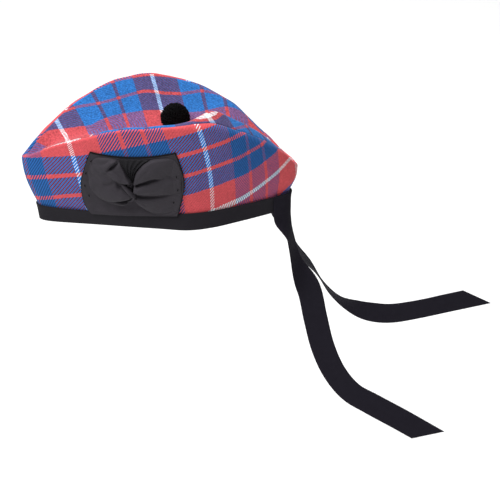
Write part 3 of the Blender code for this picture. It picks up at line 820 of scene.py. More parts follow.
def cockade_height(across, up):
    """A height on the cockade; its top edge dips in the middle and rises towards the back."""
    dip = COCKADE_DIP * (1 - (2 * across - 1) ** 2)
    rise = COCKADE_RISE * across
    return COCKADE_FOOT + COCKADE_HEIGHT * up - up * up * (dip - rise)


def closer_at_ends(count):
    """Shares from 0 to 1 that lie closer together towards both."""
    return 0.5 - 0.5 * np.cos(np.pi * np.linspace(0, 1, count))


def cockade_grid():
    """Places, heights and distances from the edge over the cockade."""
    half = COCKADE_WIDTH / 2
    heights = column(COCKADE_ROWS, COCKADE_COLUMNS, "height")
    up, across = np.meshgrid(*(closer_at_ends(count) for count in COCKADE_GRID), indexing="ij")
    places = np.linspace(0, len(heights) - 1, OUTLINE_PLACES)
    fine = [np.interp(p, range(len(heights)), heights) for p in places]
    front = [read(COCKADE_ROWS, COCKADE_COLUMNS, "front", p) for p in places]
    back = [read(COCKADE_ROWS, COCKADE_COLUMNS, "back", p) for p in places]
    x0 = COCKADE_CENTRE - half * np.interp(up, fine, front)
    x1 = COCKADE_CENTRE + half * np.interp(up, fine, back)
    x = x0 + (x1 - x0) * across
    z = cockade_height(across, up)
    above = z - cockade_height(across, np.zeros_like(up))
    below = cockade_height(across, np.ones_like(up)) - z
    return x, z, np.minimum.reduce([x - x0, x1 - x, above, below])


# The felt's turned edge, and the shallow groove that its stitches press in; how far the felt waves.
EDGE_ROLL = 0.0012
EDGE_CLOTH = 0.0003
GROOVE_INSET = 0.0034
GROOVE_WIDTH = 0.0005
GROOVE_DEPTH = 0.00022
FELT_WAVE = 0.0001
FELT_WAVE_LENGTH = 0.020
FELT_WAVE_INSET = 0.006


def add_cockade(wall):
    """The stiffened patch, with a rolled edge and a shallow stitched groove inside it."""
    x, z, edge = cockade_grid()
    edge = np.maximum(edge, 0)
    groove = np.exp(-((edge - GROOVE_INSET) / GROOVE_WIDTH) ** 2)
    thick = EDGE_CLOTH + (COCKADE_CLOTH - EDGE_CLOTH) * rolled(edge, EDGE_ROLL) - GROOVE_DEPTH * groove
    wave = np.vectorize(lambda a, b: ripple(a, b, FELT_WAVE_LENGTH, 1.5))(x, z)
    thick = thick + FELT_WAVE * wave * np.minimum(edge / FELT_WAVE_INSET, 1)
    stand = cockade_stand(z)
    outside = wall.off(x, z, stand + thick)
    inside = wall.off(x, z, stand)
    cloth = np.stack([x * 1000, z * 1000], axis=-1)
    patch = pad("cockade_felt", outside[:, ::-1], inside[:, ::-1], cloth[:, ::-1])
    # The faces on the turned edge take the black felt: partly the dark thread that binds the edge, partly
    # painted shade along the rolled edge.
    edges = np.tile(edge[:, ::-1].ravel(), 2)
    turned = [int(max(edges[v] for v in face.vertices) < EDGE_ROLL) for face in patch.data.polygons]
    patch.data.polygons.foreach_set("material_index", turned)
    return patch


# The bow and patch are tacked to the cap at these places: along the cockade from its middle and height
# above its foot, how far it stands off the patch, then the way the short thread runs in degrees. Lengths
# are in millimetres.
TACKS = (
    (-45.8, 72.5, 0.7, 70),
    (-41.7, 70.0, 1.3, 35),
    (-47.9, 54.0, 0.7, 60),
    (-49.6, 38.0, 0.7, 100),
    (-45.8, 25.0, 0.7, 120),
    (45.8, 54.0, 2.4, 110),
    (46.9, 37.0, 2.2, 80),
    (42.7, 20.5, 2.4, 60),
)
TACK_LENGTH = 2.6
TACK_RADIUS = 0.0005
# How deep its ends are pulled down, and how blunt they are. Its direction is taken over a small step.
TACK_PULL = 0.0009
TACK_BLUNT = 0.05
TACK_RINGS = 9
TACK_SIDES = 8
SMALL_STEP = 1e-4


def add_tacks(wall):
    """Short doubled threads that hold the patch and the ends of the bow, each pulled down at its ends."""
    vertices = []
    faces = []
    for across, up, off, turn in TACKS:
        faces += tube_faces(len(vertices), TACK_RINGS, TACK_SIDES)
        way = np.array([math.cos(math.radians(turn)), math.sin(math.radians(turn))])
        middle = np.array([COCKADE_CENTRE, COCKADE_FOOT]) + np.array([across, up]) / 1000
        for share in np.linspace(-1, 1, TACK_RINGS):
            x, z = middle + way * share * TACK_LENGTH / 2000
            stand = cockade_stand(z) + COCKADE_CLOTH + off / 1000 - TACK_PULL * share**4
            centre = wall.off(x, z, stand)
            outward = unit(wall.off(x, z, stand + TACK_RADIUS) - centre)
            ahead = unit(wall.off(x + SMALL_STEP * way[0], z + SMALL_STEP * way[1], stand) - centre)
            beside = np.cross(ahead, outward)
            radius = TACK_RADIUS * math.sqrt(max(1 - share * share, TACK_BLUNT))
            for k in range(TACK_SIDES):
                turned = 2 * math.pi * k / TACK_SIDES
                vertices.append(centre + (beside * math.cos(turned) + outward * math.sin(turned)) * radius)
    return new_piece("cockade_tacks", vertices, faces)


# The bow's folds are soft rolls of ribbon, each a line of points: place along the cockade from its middle
# and height above its foot, then how wide and how high the roll stands there, all in millimetres.
FRONT_ROLLS = (
    ((-5.0, 45.0, 5.0, 3.0), (-17.0, 50.0, 17.0, 4.2), (-30.0, 54.0, 25.0, 4.4), (-41.0, 55.0, 24.0, 1.2)),
    ((-24.5, 62.0, 3.6, 5.0), (-18.5, 56.8, 5.0, 6.6), (-11.9, 51.8, 4.6, 7.4), (-3.8, 48.2, 3.2, 7.0)),
    ((-17.0, 70.0, 4.4, 3.4), (-13.0, 64.0, 5.8, 4.8), (-8.4, 56.5, 4.2, 5.4), (-4.4, 50.6, 3.0, 5.6)),
    ((-15.5, 75.0, 2.8, 4.6), (-20.5, 70.8, 3.6, 6.2), (-26.5, 65.0, 5.0, 5.8), (-34.0, 60.0, 9.0, 4.0)),
    ((-37.0, 39.0, 13.0, 3.6), (-24.0, 33.0, 13.0, 7.0), (-11.9, 31.0, 8.6, 8.8), (-1.0, 30.0, 3.4, 6.8)),
    ((-17.0, 18.6, 2.8, 3.0), (-10.0, 18.4, 3.3, 4.4), (-4.5, 20.6, 3.0, 5.0), (0.2, 25.0, 2.4, 5.2)),
)
BACK_ROLLS = (
    ((2.6, 47.0, 3.0, 6.2), (8.8, 55.5, 9.5, 7.6), (18.0, 62.5, 13.4, 6.8), (30.4, 65.0, 14.5, 4.2),
     (41.0, 63.0, 13.0, 1.6)),
    ((0.6, 38.3, 3.6, 6.6), (7.7, 38.2, 7.2, 7.2), (18.0, 39.4, 9.6, 6.2), (30.4, 41.0, 11.5, 4.2),
     (42.5, 42.0, 11.0, 1.6)),
    ((2.2, 27.5, 3.2, 6.0), (9.8, 21.6, 7.4, 6.0), (20.1, 18.4, 11.0, 5.0), (31.5, 17.5, 12.0, 3.4),
     (42.0, 19.0, 11.0, 1.4)),
)
# Creases between and across the rolls: depth and half width in millimetres, then their line.
FRONT_CREASES = (
    (5.0, 1.5, ((-13.6, 72.0), (-17.0, 68.8), (-21.0, 64.6), (-25.4, 60.4))),
    (4.0, 1.4, ((2.0, 43.4), (-1.5, 44.6), (-5.0, 46.0), (-9.5, 43.6), (-12.4, 40.6), (-14.5, 43.6),
                (-17.5, 48.6), (-22.0, 51.0))),
    (4.0, 1.3, ((1.0, 29.6), (-2.2, 26.4), (-6.5, 23.4), (-11.0, 22.4), (-17.0, 23.4))),
    (1.6, 2.6, ((-19.0, 46.5), (-25.0, 43.6), (-31.0, 46.0))),
    (0.9, 2.0, ((-12.0, 69.0), (-9.0, 61.0), (-6.0, 54.0))),
    (0.8, 2.4, ((-24.0, 52.0), (-33.0, 58.0), (-40.0, 66.0))),
)
BACK_CREASES = (
    (4.4, 1.5, ((0.5, 43.0), (7.0, 45.6), (14.0, 48.6), (21.0, 51.4), (31.0, 51.6))),
    (4.2, 1.4, ((1.5, 31.6), (8.0, 28.4), (18.0, 27.8), (29.0, 28.0), (42.0, 30.8))),
    (1.3, 1.8, ((45.0, 50.0), (39.0, 54.0), (34.0, 57.5))),
    (0.8, 1.2, ((3.5, 25.0), (8.0, 18.5), (11.0, 13.5))),
    (0.8, 1.2, ((4.0, 26.5), (10.5, 21.5), (16.0, 17.0))),
    (0.6, 2.0, ((6.0, 52.0), (13.0, 61.0), (21.0, 69.0))),
    (0.5, 2.2, ((8.0, 35.0), (20.0, 34.6), (31.0, 36.6))),
)


# A roll or crease is followed in this many straight steps from point to point.
LINE_STEPS = 8
WING_GRID = (150, 130)
# The wing's cloth, in millimetres: how wide its edges roll over, its thickness near the knot, and how much
# thinner it is at its outer end, where it is sewn flat to the cockade, with the shares of the wing between
# which it gets there. It also stands off less there, by the last share.
WING_ROLL = 2.4
WING_THICK = 0.9
SEWN_THINNER = 0.75
SEWN_BETWEEN = (0.35, 0.70)
SEWN_CLOSER = 0.7
# A high power lets one roll pass into the next with only a narrow blend.
ROLL_BLEND = 5
# How sharply a crease falls off beside its line, and the shares of the line between which it fades.
CREASE_SHARPNESS = 1.5
CREASE_FADES = (0.55, 1.05)
# The ribbon's soft and fine unevenness: height and length in millimetres. The soft one grows until the
# cloth is this thick.
SOFT_UNEVEN = (0.40, 9.0)
FINE_UNEVEN = (0.10, 3.5)
SOFT_FULL = 3
# The least thickness, and what is added to it where the wing isn't sewn down.
LEAST_THICK = 0.12
LEAST_LOOSE = 0.5


def along_line(a, b, line):
    """Distances from places to a smooth line, its values at the nearest point and the share of its way."""
    steps = LINE_STEPS * (len(line) - 1)
    points = np.array([point_on(line, i / LINE_STEPS) for i in range(steps + 1)])
    away = np.full(a.shape, np.inf)
    values = np.zeros(a.shape + (points.shape[1] + 1,))
    for i, (start, stop) in enumerate(zip(points, points[1:])):
        run = stop - start
        t = ((a - start[0]) * run[0] + (b - start[1]) * run[1]) / (run[0] ** 2 + run[1] ** 2)
        t = np.clip(t, 0, 1)[..., None]
        here = start + t * run
        gap = np.hypot(a - here[..., 0], b - here[..., 1])
        nearer = gap < away
        away = np.where(nearer, gap, away)
        values[nearer] = np.concatenate([here, (i + t) / steps], axis=-1)[nearer]
    return away, values


def add_wing(wall, name, rows, rolls, creases, seed):
    """A wing of soft folded ribbon: rolls that run out from the knot and creases between them."""
    around, across = WING_GRID
    u = np.linspace(0, 1, around)
    places = u * (len(rows) - 1)
    x = COCKADE_CENTRE + COCKADE_WIDTH * np.array([read(rows, BOW_COLUMNS, "place", p) for p in places])
    low = np.array([read(rows, BOW_COLUMNS, "low", p) for p in places])
    high = np.array([read(rows, BOW_COLUMNS, "high", p) for p in places])
    v = closer_at_ends(across)
    x = np.repeat(x[:, None], across, axis=1)
    z = COCKADE_FOOT + COCKADE_HEIGHT * (low[:, None] + (high - low)[:, None] * v[None, :])
    a = (x - COCKADE_CENTRE) * 1000
    b = (z - COCKADE_FOOT) * 1000
    span = b[:, -1:] - b[:, :1]
    edge = np.minimum(np.minimum(v, 1 - v)[None, :] * span, np.abs(a - a[-1, 0]))
    rise = rolled(edge, WING_ROLL)
    sewn = np.repeat(fades_in(u, SEWN_BETWEEN)[:, None], across, axis=1)
    thick = WING_THICK - SEWN_THINNER * sewn
    for line in rolls:
        away, at = along_line(a, b, line)
        roll = at[..., 3] * np.sqrt(np.clip(1 - (away / at[..., 2]) ** 2, 0, 1))
        thick = (thick**ROLL_BLEND + roll**ROLL_BLEND) ** (1 / ROLL_BLEND)
    for depth, width, line in creases:
        away, at = along_line(a, b, line)
        fade = 1 - fades_in(at[..., 2], CREASE_FADES)
        thick = thick - depth * np.exp(-(away / width) ** CREASE_SHARPNESS) * fade
    soft = np.vectorize(lambda p, q: ripple(p, q, SOFT_UNEVEN[1], seed))(a, b)
    fine = np.vectorize(lambda p, q: ripple(p + q, q - p, FINE_UNEVEN[1], seed + 4))(a, b)
    uneven = SOFT_UNEVEN[0] * soft * np.minimum(thick / SOFT_FULL, 1) + FINE_UNEVEN[0] * fine
    thick = np.maximum((thick + uneven) * rise, LEAST_LOOSE * rise * (1 - sewn) + LEAST_THICK) / 1000
    stand = cockade_stand(z) + COCKADE_CLOTH + BOW_STAND * (1 - SEWN_CLOSER * sewn)
    outside = wall.off(x, z, stand + thick)
    inside = wall.off(x, z, stand)
    reach = np.linalg.norm(np.diff(outside, axis=1), axis=2).cumsum(axis=1) * 1000
    reach = np.concatenate([np.zeros((around, 1)), reach], axis=1)
    cloth = np.stack([np.abs(a - a[0, 0]), reach], axis=-1)
    if rows[-1][0] < 0:
        return pad(name, outside, inside, cloth)
    return pad(name, outside[::-1], inside[::-1], cloth[::-1])


# The knot's strands of twisted ribbon: place, height, half width and how high they stand, in millimetres.
STRANDS = (
    ((-11.0, 47.2, 1.5, 4.8), (-6.9, 42.0, 2.0, 7.2), (-2.6, 36.6, 2.1, 8.0), (2.4, 30.2, 1.6, 7.4)),
    ((-4.6, 23.6, 1.2, 4.6), (-0.6, 26.4, 1.5, 6.2), (2.0, 30.6, 1.3, 7.0)),
)
# The gathered ribbon in the gap above the knot, near black as painted shade for the hollow between the
# wings: height above the cockade's foot, then its two sides.
GATHER = (
    (46.0, -1.2, 1.2),
    (53.0, -3.6, 2.2),
    (59.0, -6.2, 3.9),
    (65.0, -8.8, 7.6),
    (71.0, -11.7, 13.0),
    (75.3, -13.4, 18.6),
)
STRAND_RINGS = 24
STRAND_SIDES = 14
# A strand starts this much above the wings' own underside, its cloth is this many millimetres long, and its
# direction is taken over a share of a span to each side.
STRAND_LIFT = 0.0004
STRAND_CLOTH = 20
STRAND_REACH = 0.05
# The gathers fan out as this many pleats, which sway by a share of a pleat on their way up. In millimetres:
# the ribbon's least height, what it rises by at a pleat's foot and what a pleat adds. It rises within
# GATHER_ROLL of its sides and of the height of its top.
GATHER_GRID = (70, 60)
GATHER_PLEATS = 4.6
PLEAT_SWAY = 0.25
PLEAT_SWAYS = 5
GATHER_LEAST = 0.15
PLEAT_FOOT = 0.5
PLEAT_HEIGHT = 1.5
PLEAT_SOFTNESS = 0.8
GATHER_TOP = 75.6
GATHER_ROLL = 1.2
# A pleat is full halfway up, and falls towards this share at its ends, but no further than at these two
# shares of its way.
PLEAT_AT_ENDS = 0.45
PLEAT_BETWEEN = (0.12, 0.88)


def on_cockade(a, b):
    """The place and height of points in millimetres from the cockade's middle and above its foot."""
    return COCKADE_CENTRE + a / 1000, COCKADE_FOOT + b / 1000


def add_knot(wall):
    """The crossing twist between the wings, and the gathers in the gap above it, in a near-black ribbon
    that is painted shade.
    """
    vertices = []
    faces = []
    cloth = []
    for line in STRANDS:
        faces += tube_faces(len(vertices), STRAND_RINGS, STRAND_SIDES)
        for i in range(STRAND_RINGS):
            place = (len(line) - 1) * i / (STRAND_RINGS - 1)
            a, b, width, height = point_on(line, place)
            way = unit(point_on(line, place + STRAND_REACH)[:2] - point_on(line, place - STRAND_REACH)[:2])
            for k in range(STRAND_SIDES):
                turn = 2 * math.pi * k / STRAND_SIDES
                out = width * math.cos(turn)
                x, z = on_cockade(a - way[1] * out, b + way[0] * out)
                stand = cockade_stand(z) + COCKADE_CLOTH + BOW_STAND + STRAND_LIFT
                vertices.append(wall.off(x, z, stand + height / 1000 * (0.5 + 0.5 * math.sin(turn))))
                cloth.append((STRAND_CLOTH * i / STRAND_RINGS, k))
    strand_faces = len(faces)
    rows, columns = GATHER_GRID
    up, across = np.meshgrid(np.linspace(0, 1, rows), np.linspace(0, 1, columns), indexing="ij")
    places = up * (len(GATHER) - 1)
    b, left, right = (np.interp(places, range(len(GATHER)), values) for values in zip(*GATHER))
    a = left + (right - left) * across
    edge = np.minimum(np.minimum(across, 1 - across) * (right - left), GATHER_TOP - b)
    sway = PLEAT_SWAY * np.sin(PLEAT_SWAYS * up)
    pleat = 1 - np.abs(np.sin(math.pi * (GATHER_PLEATS * across + sway)))
    full = PLEAT_AT_ENDS + (1 - PLEAT_AT_ENDS) * np.sin(math.pi * np.clip(up, *PLEAT_BETWEEN))
    thick = PLEAT_FOOT + (PLEAT_FOOT + PLEAT_HEIGHT * pleat**PLEAT_SOFTNESS) * full
    thick = (GATHER_LEAST + thick * np.sqrt(np.clip(edge / GATHER_ROLL, 0, 1))) / 1000
    x, z = on_cockade(a, b)
    stand = cockade_stand(z) + COCKADE_CLOTH + BOW_STAND
    sheet = np.concatenate([wall.off(x, z, stand + thick), wall.off(x, z, stand)]).reshape(-1, 3)
    start = len(vertices)
    faces += [[start + v for v in face] for face in closed_faces(grid_faces(rows, columns), rows * columns)]
    vertices = np.concatenate([vertices, sheet])
    cloth = np.concatenate([cloth, sheet[:, [2, 0]] * 1000])
    knot = new_piece("bow_knot_ribbon", vertices, faces, cloth)
    # The gathers take the near-black ribbon: painted shade for the hollow above the knot.
    knot.data.polygons.foreach_set("material_index", [int(i >= strand_faces) for i in range(len(faces))])
    return knot


# Toorie.

# A core with small lumps, and on it the tufts of yarn: how far out they start, how far a tuft leans over
# and turns round on its way out, and its half widths at shares of its length.
CORE_RADIUS = 0.0132
CORE_LUMP = 0.03
CORE_LUMP_LENGTH = 0.004
TUFTS = 2600
TUFT_SIDES = 4
TUFT_ROOT = 0.0118
TUFT_LEAN = 0.0011
TUFT_TURN = 1.3
TUFT_WIDTHS = ((0.0, 0.00042), (0.45, 0.00050), (0.8, 0.00046), (1.0, 0.00026))
# Chance tilts a tuft's rings a little. The tufts are trimmed to a share of the radius that comes and goes
# over the ball, and each is a little longer or shorter by chance.
TUFT_SPREAD = 0.07
TRIM_MIDDLE = 0.970
TRIM_MORE = 0.060
TRIM_WAVES = 3
TRIM_CHANCE = 0.018
SEED = 11


def toorie_centre(points):
    """The toorie's middle when it rests in the valley."""
    crown = points.reshape(-1, 3)
    away = crown[:, :2] - np.array([TOORIE_PLACE, 0.0])
    under = (away**2).sum(axis=1) < TOORIE_RADIUS**2
    reach = np.sqrt(TOORIE_RADIUS**2 - (away[under] ** 2).sum(axis=1))
    return np.array([TOORIE_PLACE, 0.0, (crown[under, 2] + reach).max() + GAP])


def ball_directions(count):
    """Directions spread evenly over a ball."""
    turn = math.pi * (3 - math.sqrt(5))
    heights = [1 - (2 * k + 1) / count for k in range(count)]
    return np.array([
        (math.sqrt(1 - h * h) * math.cos(turn * k), math.sqrt(1 - h * h) * math.sin(turn * k), h)
        for k, h in enumerate(heights)
    ])


def add_toorie(points):
    """The pompom: a dense ball of cut yarn ends, trimmed a little unevenly, on a dark core."""
    centre = toorie_centre(points)
    rng = np.random.default_rng(SEED)
    vertices = []
    edit = bmesh.new()
    bmesh.ops.create_icosphere(edit, subdivisions=4, radius=CORE_RADIUS)
    edit.verts.index_update()
    for vertex in edit.verts:
        lump = ripple(vertex.co.x, vertex.co.y + vertex.co.z, CORE_LUMP_LENGTH, 5.0)
        vertices.append(centre + np.array(vertex.co) * (1 + CORE_LUMP * lump))
    faces = [[v.index for v in f.verts] for f in edit.faces]
    edit.free()
    for direction in ball_directions(TUFTS):
        aim = unit(direction + rng.normal(0, TUFT_SPREAD, 3))
        drift = unit(np.cross(aim, rng.normal(0, 1, 3)))
        tuft = ripple(*(direction[:2] * TRIM_WAVES), 1.0, 2.0 + direction[2] * TRIM_WAVES)
        end = TOORIE_RADIUS * (TRIM_MIDDLE + TRIM_MORE * tuft) * (1 + rng.normal(0, TRIM_CHANCE))
        left = unit(np.cross(aim, drift))
        over = np.cross(left, aim)
        faces += tube_faces(len(vertices), len(TUFT_WIDTHS), TUFT_SIDES)
        for share, width in TUFT_WIDTHS:
            reach = TUFT_ROOT + (end - TUFT_ROOT) * share
            bend = drift * TUFT_LEAN * share * share
            for k in range(TUFT_SIDES):
                turn = 2 * math.pi * k / TUFT_SIDES + TUFT_TURN * share
                ring = (left * math.cos(turn) + over * math.sin(turn)) * width
                vertices.append(centre + direction * reach + bend + ring)
    return new_piece("toorie_yarn", np.array(vertices), faces)


# Tails.

TAIL_GRID = (170, 19)
# The middle line is measured at this many places, and its direction over a part of a span to each side.
TAIL_MEASURES = 400
TAIL_REACH = 0.05
# The outermost line of the cloth on each side is the selvedge, which has this share of the thickness.
SELVEDGE_SHARE = 0.55


def around_back(level, outward, side, distance, stand):
    """A point on the band's back end, a distance round from the middle towards one side."""
    count = len(level)
    middle = count // 2
    step = -1 if side < 0 else 1
    order = [(middle + step * i) % count for i in range(count // 4)]
    ring = level[order] + outward[order] * stand
    lengths = np.concatenate([[0], np.cumsum(np.linalg.norm(np.diff(ring, axis=0), axis=1))])
    return np.array([np.interp(distance, lengths, ring[:, k]) for k in (0, 1)])


def add_tail(points, name, rows, side):
    """A ribbon tail: it lies round the band's back end, then hangs on its own line."""
    stand = BAND_GAP + BAND_CLOTH + TAIL_GAP + RIBBON_CLOTH / 2
    last = len(rows) - 1
    steps, across = TAIL_GRID

    def middle(place):
        out, drop, near, _ = point_on(rows, place)
        return np.array([RIM_BACK, 0, 0]) + TAIL_LENGTH * np.array([out, -near, -drop])

    places = np.linspace(0, last, TAIL_MEASURES)
    line = np.array([middle(place) for place in places])
    lengths = along_lines(line)
    levels = {}
    grid = np.zeros((steps, across, 3))
    cloth = np.zeros((steps, across, 2))
    for i in range(steps):
        share = i / (steps - 1)
        for k, c in enumerate(np.linspace(-0.5, 0.5, across)):
            slanted = smooth_step((share - SLANT_START) / (SLANT_END - SLANT_START))
            slant = TAIL_SLANT * (c if side < 0 else -c) * slanted
            distance = lengths[-1] * share + slant
            place = np.interp(distance, lengths, places)
            beyond = max(0.0, distance - lengths[-1])
            here = middle(place)
            ahead = unit(middle(min(place + TAIL_REACH, last)) - middle(max(place - TAIL_REACH, 0)))
            turn = math.radians(read(rows, TAIL_COLUMNS, "turn", place))
            flat = unit(np.cross(ahead, np.array([0.0, 1.0, 0.0])))
            edge = unit(np.cross(flat, ahead))
            out = flat * math.cos(turn) + edge * math.sin(turn)
            free = here + ahead * beyond + out * c * RIBBON_WIDTH
            height = TAIL_TOP - distance
            grid[i, k] = free
            cloth[i, k] = (distance * 1000, c * RIBBON_WIDTH * 1000)
            loose = min(max((distance - TAIL_TOP) / TAIL_BLEND, 0.0), 1.0)
            if loose < 1:
                # The outline is worked out once for each tenth of a millimetre.
                key = round(min(max(height, 0.0), BAND_HEIGHT), 4)
                if key not in levels:
                    levels[key] = ring_at(points, key)
                sewn = around_back(*levels[key], side, GAP + RIBBON_WIDTH * (0.5 - c), stand)
                grid[i, k] = np.array([sewn[0], sewn[1], height]) * (1 - loose) + free * loose
    facing = np.cross(np.gradient(grid, axis=0), np.gradient(grid, axis=1))
    facing /= np.maximum(np.linalg.norm(facing, axis=2, keepdims=True), 1e-12)
    half = np.full((1, across, 1), RIBBON_CLOTH / 2)
    half[:, [0, -1]] *= SELVEDGE_SHARE
    return pad(name, grid + facing * half, grid - facing * half, cloth)


# Materials.


def linear(hex_code):
    """Linear colour from an sRGB hex value."""
    parts = [int(hex_code[i:i + 2], 16) / 255 for i in (1, 3, 5)]
    return tuple(p / 12.92 if p <= 0.04045 else ((p + 0.055) / 1.055) ** 2.4 for p in parts) + (1.0,)


def add_node(tree, kind, values=None, links=None, **options):
    """Adds a node: options are its own settings, values and links go to its sockets by name or number. A
    link comes from an output, or from a node's first output."""
    item = tree.nodes.new("ShaderNode" + kind)
    for name, value in options.items():
        setattr(item, name, value)
    for name, value in (values or {}).items():
        item.inputs[name].default_value = value
    for name, source in (links or {}).items():
        output = source.outputs[0] if isinstance(source, bpy.types.Node) else source
        tree.links.new(output, item.inputs[name])
    return item


def surface_of(name, **sockets):
    """A new material, its node tree and its main shader with constant socket values."""
    material = bpy.data.materials.new(name)
    material.use_nodes = True
    tree = material.node_tree
    shader = tree.nodes["Principled BSDF"]
    for socket, value in sockets.items():
        shader.inputs[socket.replace("_", " ")].default_value = value
    return material, tree, shader


def finish_cloth(tree, shader, shade, height, strength, depth):
    """Links a cloth's colour and the bump of a height, with its strength and its depth in metres."""
    bump = add_node(tree, "Bump", {"Strength": strength, "Distance": depth}, {"Height": height})
    tree.links.new(shade.outputs[0], shader.inputs["Base Color"])
    tree.links.new(bump.outputs[0], shader.inputs["Normal"])


def stripes(tree, place, sett):
    """The colour of the threads at a place across the sett, mirrored at each end."""
    total = sum(width for width, _ in sett)
    fold = add_node(tree, "Math", {1: total}, {0: place}, operation="PINGPONG")
    share = add_node(tree, "Math", {1: total}, {0: fold}, operation="DIVIDE")
    ramp = add_node(tree, "ValToRGB", links={"Fac": share})
    ramp.color_ramp.interpolation = "CONSTANT"
    elements = ramp.color_ramp.elements
    while len(elements) > 1:
        elements.remove(elements[-1])
    start = 0.0
    for index, (width, colour) in enumerate(sett):
        stop = elements[0] if index == 0 else elements.new(start / total)
        stop.position = start / total
        stop.color = linear(colour)[:3] + (DYE[colour],)
        start += width
    return ramp


# Worsted twill, dyed in the yarn: a flat matt face with a slanting rib. Real ribs lie about 0.8 mm
# apart. They are drawn 3.5 mm apart on the walls and 3.9 mm on the crown, so that they show at this size.
# Where two colours cross, the upper thread catches the light and the lower one lies in its shade, so the
# cloth looks hatched.
# One cloth in lit and shaded copies: the walls' blue is painted darker than the crown's, and the crown's
# red darker than the walls', as painted shade for how the light falls on each.
RED = "#C84D53"
CROWN_RED_PAINTED_DARKER = "#B2464C"
BLUE = "#307BCC"
WALL_BLUE_PAINTED_DARKER = "#1B5290"
WHITE = "#DCE6EA"
# How blue each colour is. It goes along with the colour, and where two threads cross, the ribs show by
# the difference: fully for red and blue, and hardly for white and either.
DYE = {RED: 0.0, CROWN_RED_PAINTED_DARKER: 0.0, WHITE: 0.5, BLUE: 1.0, WALL_BLUE_PAINTED_DARKER: 1.0}
WALL_RIBS = 3.5
CROWN_RIBS = 3.9
# How bright the weft's rib is and how dark the warp's, for a red weft and then added for a blue one. The
# crown's ribs are painted less bright than the walls': painted shade that darkens its crossings.
WALL_RIB_LIGHT = (1.18, 0.30)
CROWN_RIB_LIGHT = (0.60, -0.15)
RIB_SHADE = (0.62, -0.38)
RIB_ON_BLUE = 0.45
RIB_ON_ONE_COLOUR = 0.14
# Where across a rib's wave, from -1 to 1, the weft starts to cover the warp and where it covers it
# fully: sharply on the walls, and softly on the crown, whose ribs blur in the photograph. The last number
# is how much more of a white warp it covers, so that the line takes on a lighter tone of the weft's colour.
WALL_COVER = (-0.05, 0.35, 1.4)
CROWN_COVER = (-2.2, 1.8, 0.0)
# A blue weft covers this much more of the warp than a red one does.
BLUE_COVERS = 0.3
# The threads wander by up to half this many millimetres to each side, over some 4 mm of cloth.
WANDER = 0.9
WANDER_SCALE = 0.25
# The tone comes and goes by this much in patches some 17 mm wide, where the nap lies differently.
PATCHES = 0.18
PATCH_SCALE = 0.06
# The yarn's fuzz is drawn about 1.8 mm across, much coarser than the real fibres, so that it shows at this
# size: so many per metre, and how much it changes the tone of the walls and of the crown.
FUZZ_PER_METRE = 560.0
WALL_FUZZ = 0.6
CROWN_FUZZ = 1.4
# Half the sett, from the middle of the white line to the middle of the blue, in millimetres. The walls take
# the blue painted darker and the crown the red painted darker, as painted shade.
WALL_SETT = ((2.0, WHITE), (27.0, RED), (20.3, WALL_BLUE_PAINTED_DARKER), (4.3, RED), (9.4, WALL_BLUE_PAINTED_DARKER))
CROWN_SETT = ((2.0, WHITE), (22.5, CROWN_RED_PAINTED_DARKER), (24.8, BLUE), (4.3, CROWN_RED_PAINTED_DARKER), (9.4, BLUE))


